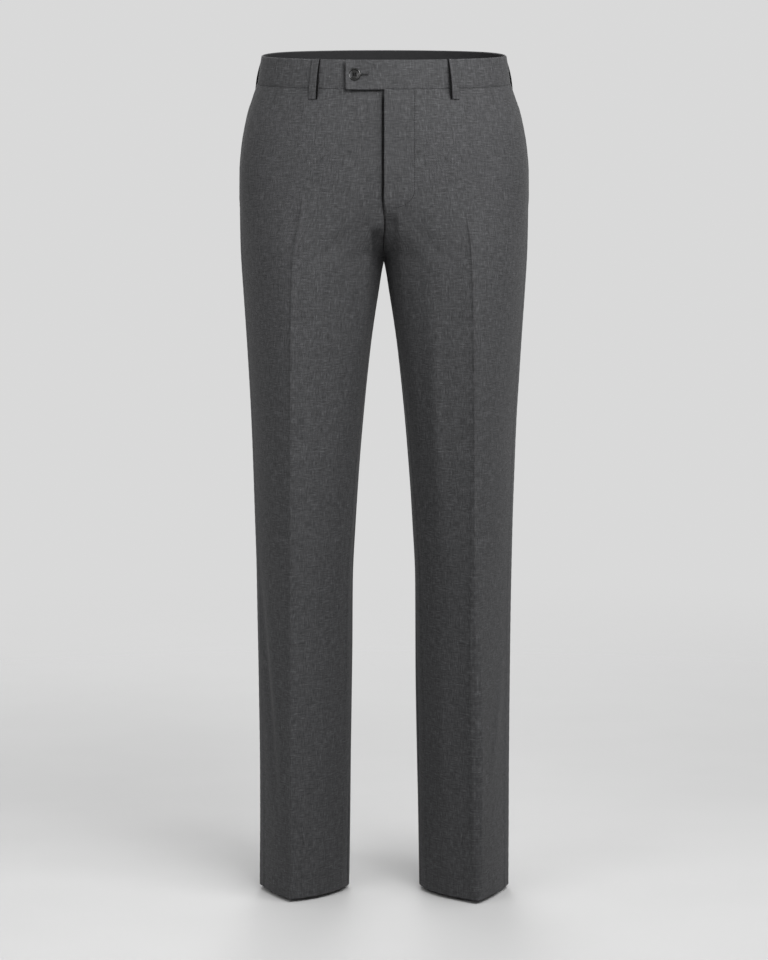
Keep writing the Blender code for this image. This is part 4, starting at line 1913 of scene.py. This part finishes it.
@dataclass
class WaistButton:
    """The button on the tab, its thread and its buttonhole."""

    finishes: Finishes
    radius: float = 7.7
    thick: float = 3.2
    rim: float = 1.15
    dish: float = 1.5
    sides: int = 72
    hole_radius: float = 0.85
    hole_reach: float = 1.55
    hole_sides: int = 20
    stand: float = 0.35
    # the thread: half the room between its two strands, and its radius
    strand_apart: float = 0.28
    strand_radius: float = 0.22
    # the buttonhole, by x and by its lips' half width
    hole_start: float = -37.5
    hole_end: float = -19.0
    lip: float = 1.3
    lip_step: float = 0.42
    lip_radius: float = 0.2
    tab_stand: float = 0.3

    def build(self) -> list[Piece]:
        """Builds the button, its thread and the buttonhole's lips."""
        seat = self.seat()
        return [self.disc(seat), self.thread(seat), self.buttonhole()]

    def seat(self) -> Seat:
        """Where the button sits on the tab, and how it is turned.

        Returns:
            The seat, in mm.
        """
        here, normal = FORM.front_point(CUT.hold, CUT.button_x)
        above = FORM.front_point(CUT.hold + self.radius, CUT.button_x)[0]
        across = unit(np.cross([0, 0, 1.0], normal))
        upward = unit(above - here)
        axis = np.cross(across, upward)
        middle = self.pulled(here) + axis * (CUT.layer + CUT.gap + self.stand)
        return Seat(middle, axis, across, upward)

    def outline(self) -> list[Span]:
        """Radius and height along the disc's outline: underside, rounded rim, dish.

        Returns:
            The outline's corners.
        """
        r, t = self.radius, self.thick
        outline = [(r - 2.0, 0.0), (r - 1.0, 0.15)]
        for angle in np.linspace(-0.30 * math.pi, 0.98 * math.pi, 16):
            round_off = self.rim * (1 - math.cos(angle))
            outline.append((r - round_off, t - self.rim * (1 - math.sin(angle))))
        floor, foot = t - self.dish, r - 2 * self.rim
        outline += [(foot - 0.3, floor - 0.02), (foot - 0.5, floor - 0.05), (0.9, floor - 0.08)]
        return outline

    def disc(self, seat: Seat) -> Piece:
        """The turned disc with its four holes.

        Args:
            seat: Where the button sits.

        Returns:
            The disc, in place of its solid.
        """
        rings = []
        for radius, height in self.outline():
            rings.append(seat.ring(seat.middle, radius, height, self.sides))
        no_grain = np.zeros((len(rings), self.sides, 2))
        piece = sweep_mesh("waist_button_horn", np.array(rings), no_grain, self.finishes.button)
        for turn in range(4):
            self.drill(piece, seat, math.pi / 4 + turn * math.pi / 2)
        piece.data.shade_smooth()
        piece.data.set_sharp_from_angle(angle=math.radians(45))
        return settle(piece, "waist_button")

    def drill(self, piece: Piece, seat: Seat, angle: float) -> None:
        """Cuts one hole through the disc.

        Args:
            piece: The disc.
            seat: Where the button sits.
            angle: Where the hole is round the middle.
        """
        aside = seat.across * math.cos(angle) + seat.upward * math.sin(angle)
        middle = seat.middle + aside * self.hole_reach
        rings = []
        for height in (-1.0, self.thick + 1.0):
            rings.append(seat.ring(middle, self.hole_radius, height, self.hole_sides))
        no_grain = np.zeros((2, self.hole_sides, 2))
        drill = sweep_mesh("drill", np.array(rings), no_grain, self.finishes.button)
        cut = piece.modifiers.new("hole", "BOOLEAN")
        cut.operation, cut.solver, cut.object = "DIFFERENCE", "EXACT", drill
        bpy.context.view_layer.update()
        graph = bpy.context.evaluated_depsgraph_get()
        mesh = bpy.data.meshes.new_from_object(piece.evaluated_get(graph))
        piece.modifiers.clear()
        piece.data = mesh
        bpy.data.objects.remove(drill)

    def thread(self, seat: Seat) -> Piece:
        """Two bars of thread through the holes, down to the cloth.

        Args:
            seat: Where the button sits.

        Returns:
            The thread.
        """
        reach = self.hole_reach * math.sqrt(0.5)
        top = self.thick - self.dish
        half = [(-reach, -0.2), (-reach, top - 0.15), (-reach * 0.6, top + 0.28)]
        path = half + [(-y, height) for y, height in reversed(half)]
        runs = []
        for x in (-reach, reach):
            for shift in (-self.strand_apart, self.strand_apart):
                aside = seat.middle + seat.across * (x + shift)
                runs.append([aside + seat.upward * y + seat.axis * height for y, height in path])
        return tubes("button_thread", runs, self.strand_radius, self.finishes.dark_thread_and_painted_shadow)

    def buttonhole(self) -> Piece:
        """The worked buttonhole on the tab: close stitches along both lips and round its ends.

        Returns:
            The stitches.
        """
        runs = []
        for sign in (-1, 1):
            for x in np.arange(self.hole_start, self.hole_end, self.lip_step):
                inner = self.on_tab(x, sign * 0.14, 0.30)
                middle = self.on_tab(x + 0.08, sign * self.lip * 0.55, 0.52)
                outer = self.on_tab(x, sign * self.lip, 0.12)
                runs.append([inner, middle, outer])
        for turn in np.linspace(-math.pi / 2, math.pi / 2, 9):
            run = []
            for reach, out in ((0.2, 0.3), (0.7, 0.5), (1.2, 0.1)):
                x = self.hole_end + math.cos(turn) * reach
                run.append(self.on_tab(x, math.sin(turn) * reach, out))
            runs.append(run)
        return tubes("buttonhole", runs, self.lip_radius, self.finishes.buttonhole_thread)

    def on_tab(self, across: float, above: float, out: float) -> Array:
        """A point on the tab, some mm above its middle line and out mm off its cloth."""
        point, normal = FORM.front_point(CUT.hold + above, across)
        return self.pulled(point) + normal * (CUT.layer + self.tab_stand + out)

    @staticmethod
    def pulled(point: Array) -> Array:
        """A point of the band, moved in as far as the button pulls the band there."""
        return point + np.array([0, float(dimple(point)), 0])


# How many sides a thread's tube has, and how much thinner its ends are.
THREAD_SIDES = 6
THREAD_TAPER = 0.55


def tubes(
    name: str, runs: Sequence[Sequence[Array]], radius: float, finish: Material
) -> Piece:
    """Many short threads as one piece of closed tubes, settled on the trousers.

    Args:
        name: The piece's name.
        runs: The points of each thread's middle line.
        radius: The thread's radius.
        finish: The material.

    Returns:
        The piece.
    """
    sides = THREAD_SIDES
    points: list[Array] = []
    faces: list[tuple[int, ...]] = []
    for run in map(np.array, runs):
        start = len(points)
        tangents = np.gradient(run, axis=0)
        for i, (centre, tangent) in enumerate(zip(run, tangents)):
            tangent = unit(tangent)
            guess = np.array([0, 1.0, 0]) if abs(tangent[1]) < 0.9 else np.array([0, 0, 1.0])
            first = unit(np.cross(tangent, guess))
            second = np.cross(tangent, first)
            slim = radius * (THREAD_TAPER if i in (0, len(run) - 1) else 1.0)
            for k in range(sides):
                angle = 2 * math.pi * k / sides
                points.append(centre + (first * math.cos(angle) + second * math.sin(angle)) * slim)
        for i in range(len(run) - 1):
            for k in range(sides):
                a, b = start + i * sides + k, start + i * sides + (k + 1) % sides
                faces.append((a, b, b + sides, a + sides))
        faces.append(tuple(start + k for k in reversed(range(sides))))
        last = start + (len(run) - 1) * sides
        faces.append(tuple(last + k for k in range(sides)))
    return settle(link_mesh(name, np.array(points), faces, finish))


@dataclass
class Stitching:
    """The fly's curved line of stitches and the tacks that hold its foot and the pockets' ends."""

    finishes: Finishes
    pieces: Sequence[Piece]
    stitch: float = 2.3
    rest: float = 0.7
    radius: float = 0.33
    # along each stitch, and how far it stands off the cloth there
    stitch_places: tuple[float, ...] = (0.0, 0.25, 0.75, 1.0)
    stitch_rises: tuple[float, ...] = (-0.15, 0.12, 0.12, -0.15)
    # the line's x, its start above the waist seam, where it bends, and its foot's x and height
    fly_reach: float = 37.0
    fly_past: float = 9.0
    fly_bend: float = 878.0
    fly_foot: Span = (7.0, 855.0)
    tack_height: float = 851.5
    tack_start: float = 0.6
    tack_step: float = 0.5
    tack_steps: int = 13
    tack_radius: float = 0.2
    pocket_below: float = 1.4
    pocket_steps: int = 9
    pocket_step: float = 0.35
    pocket_station: float = 0.022

    def build(self) -> list[Piece]:
        """Builds the fly's stitches and all tacks."""
        return [self.fly_line(), self.fly_tack(), *(self.pocket_tacks(side) for side in Side)]

    def fly_line(self) -> Piece:
        """Stitches down the fly and round to its foot.

        Returns:
            The stitches.
        """
        path = self.fly_path()
        skin = Skin(next(piece for piece in self.pieces if piece.name == "front_left_cloth"))
        walked = walked_along(path)
        runs = []
        at = 1.0
        while at + self.stitch < walked[-1]:
            marks = at + self.stitch * np.array(self.stitch_places)
            run = []
            for mark, height in zip(marks, self.stitch_rises):
                x, z = (float(np.interp(mark, walked, path[:, k])) for k in (0, 1))
                point, normal = FORM.front_point(z, x)
                run.append(skin.below(point) + normal * height)
            runs.append(run)
            at += self.stitch + self.rest
        return tubes("fly_stitching", runs, self.radius, self.finishes.thread)

    def fly_path(self) -> Array:
        """The line's x and height: straight down, then a curve in to the foot of the fly.

        Returns:
            Rows of x and height.
        """
        foot_x, foot_height = self.fly_foot
        straight = np.linspace(CUT.waist_seam + self.fly_past, self.fly_bend, 40)
        path = [(self.fly_reach, height) for height in straight]
        for t in np.linspace(0, 1, 30)[1:]:
            angle = t * math.pi / 2
            x = foot_x + (self.fly_reach - foot_x) * math.cos(angle) ** 0.85
            z = self.fly_bend - (self.fly_bend - foot_height) * math.sin(angle) ** 1.1
            path.append((x, z))
        return np.array(path)

    def fly_tack(self) -> Piece:
        """A close zigzag across the foot of the fly.

        Returns:
            The tack.
        """
        runs = []
        for step in range(self.tack_steps):
            x = self.tack_start + step * self.tack_step
            lifted = float(lift(x) * Panels.raised(self.tack_height))
            run = []
            for above, out in ((-0.8, 0.0), (-0.4, 0.35), (0.4, 0.35), (0.8, 0.0)):
                point, normal = FORM.front_point(self.tack_height + above, x + above * 0.15)
                run.append(point + normal * (out + 0.35) + np.array([0, -lifted, 0]))
            runs.append(run)
        return tubes("fly_tack", runs, self.tack_radius, self.finishes.dark_thread_and_painted_shadow)

    def pocket_tacks(self, side: Side) -> Piece:
        """Tacks across the side seam at both ends of the pocket's mouth.

        Args:
            side: The pocket's side.

        Returns:
            The tacks.
        """
        runs = []
        for height in (Relief.mouth_low, Relief.mouth_high):
            for step in range(self.pocket_steps):
                z = height - self.pocket_below + step * self.pocket_step
                front, out_front = FORM.point(side, Face.FRONT, z, self.pocket_station)
                back, out_back = FORM.point(side, Face.BACK, z, self.pocket_station)
                seam, out_seam = FORM.point(side, Face.FRONT, z, 0.0, 0)
                ends = (front + out_front * 0.3, back + out_back * 0.2)
                runs.append([ends[0], seam + out_seam * 0.75, ends[1]])
        name = f"pocket_tacks_{side.word}"
        return tubes(name, runs, self.tack_radius, self.finishes.thread)


@dataclass
class FlyShield:
    """The strip behind the fly, let in where the fly's edges meet."""

    finishes: Finishes
    right: float = -8.0
    left: float = 34.0
    foot: float = 7.0
    rows: int = 40
    step: float = 0.8
    # how deep it is let in, and between which x it starts, is full, and ends
    well: float = 5.0
    well_edges: tuple[float, float, float, float] = (-5.0, -2.6, 3.0, 8.0)

    def build(self) -> list[Piece]:
        """Builds the strip, in place of its solid.

        Returns:
            The strip alone.
        """
        across = np.arange(self.right, self.left + self.step / 2, self.step)
        heights = np.linspace(CUT.fly_end + self.foot, CUT.waist_seam - CUT.gap / 2, self.rows)
        outer, inner = [], []
        for height in heights:
            points, normals = FORM.front_row(height, across)
            points[:, 1] += self.let_in(across, height)
            outer.append(points - normals * CUT.layer)
            inner.append(points - normals * (CUT.layer + CUT.cloth))
        outer, inner = np.array(outer), np.array(inner)
        grain = outer[..., [0, 2]] * MM
        piece = wall_mesh("fly_shield_cloth", outer, inner, grain, self.finishes.worsted, False)
        return [settle(piece, "fly_shield")]

    def let_in(self, across: Array, height: float) -> Array:
        """How far the strip is let in behind the fly's opening."""
        sunk = fly_well(across, np.array(height), self.well, *self.well_edges[:2])
        return sunk * (1 - smooth_step(*self.well_edges[2:], across))


# The studio.


class Lamp(NamedTuple):
    """A soft area lamp aimed at a point of the trousers, in metres."""

    name: str
    place: tuple[float, float, float]
    aim: tuple[float, float, float]
    size: float
    watts: float
    spread_deg: float = 180.0


LAMPS = [
    Lamp("key", (1.1, -1.1, 0.8), (0.0, 0.0, 0.42), 1.3, 29.3),
    Lamp("front", (0.5, -1.6, 0.9), (0.0, 0.0, 0.55), 1.0, 33.2),
    Lamp("fill", (-1.15, -1.45, 0.55), (0.0, 0.0, -0.15), 1.1, 12.6),
    Lamp("back", (-0.3, 2.8, 1.2), (0.0, 0.0, -0.35), 2.2, 50.0),
    Lamp("low_back", (0.0, 2.6, 0.3), (0.0, 0.0, -0.38), 0.8, 2.2, 36.0),
]


@dataclass
class Studio:
    """Floor, even surround, soft lamps and the camera."""

    finishes: Finishes
    surround: float = 0.695
    # the floor's metres across from its middle, and mm below the hems
    floor_radius: float = 7.0
    floor_drop: float = 5.2
    floor_sides: int = 96
    # the camera's metres in front, and its height in mm above the hems
    camera_distance: float = 3.5
    camera_height: float = 827.0
    camera_pitch_deg: float = 5.094
    focal_mm: float = 105.0
    sensor_mm: float = 36.0

    def build(self) -> None:
        """Builds the whole studio."""
        self.floor()
        self.world()
        for lamp in LAMPS:
            self.lamp(lamp)
        self.camera()
        bpy.context.scene.view_settings.view_transform = "Standard"

    def floor(self) -> None:
        """A round floor just below the hems."""
        angles = 2 * math.pi * np.arange(self.floor_sides) / self.floor_sides
        radius = self.floor_radius / MM
        x, y = np.cos(angles) * radius, np.sin(angles) * radius
        rim = np.stack([x, y, 0 * angles - self.floor_drop], 1)
        floor = link_mesh("floor", rim, [range(self.floor_sides)], self.finishes.floor)

    def world(self) -> None:
        """An even pale surround."""
        world = bpy.data.worlds.new("studio")
        world.use_nodes = True
        background = world.node_tree.nodes["Background"]
        background.inputs["Color"].default_value = (*[self.surround] * 3, 1)
        background.inputs["Strength"].default_value = 1.0
        bpy.context.scene.world = world

    @staticmethod
    def lamp(lamp: Lamp) -> None:
        """One area lamp.

        Args:
            lamp: Its place, aim, size and strength.
        """
        data = bpy.data.lights.new(lamp.name, "AREA")
        data.shape, data.size, data.energy = "DISK", lamp.size, lamp.watts
        data.spread = math.radians(lamp.spread_deg)
        thing = bpy.data.objects.new(lamp.name, data)
        thing.location = lamp.place
        aim = Vector(lamp.aim) - Vector(lamp.place)
        thing.rotation_euler = aim.to_track_quat("-Z", "Y").to_euler()
        bpy.context.scene.collection.objects.link(thing)

    def camera(self) -> None:
        """The camera in front, looking slightly down."""
        data = bpy.data.cameras.new("camera")
        data.lens, data.sensor_width = self.focal_mm, self.sensor_mm
        camera = bpy.data.objects.new("camera", data)
        camera.location = (0, -self.camera_distance, (self.camera_height - CUT.hold) * MM)
        camera.rotation_euler = (math.radians(90 - self.camera_pitch_deg), 0, 0)
        bpy.context.scene.collection.objects.link(camera)
        bpy.context.scene.camera = camera


def main() -> None:
    """Builds every piece in order, reports them, and builds the studio."""
    logging.basicConfig(level=logging.INFO, format="%(name)s: %(message)s")
    finishes = Finishes()
    pieces = Panels(finishes).build()
    pieces += Waistband(finishes).build()
    pieces += BeltLoops(finishes).build()
    pieces += WaistButton(finishes).build()
    pieces += Stitching(finishes, pieces).build()
    pieces += FlyShield(finishes).build()
    for piece in pieces:
        log.info("%s: %d faces", piece.name, len(piece.data.polygons))
    Studio(finishes).build()


if __name__ == "__main__":
    main()
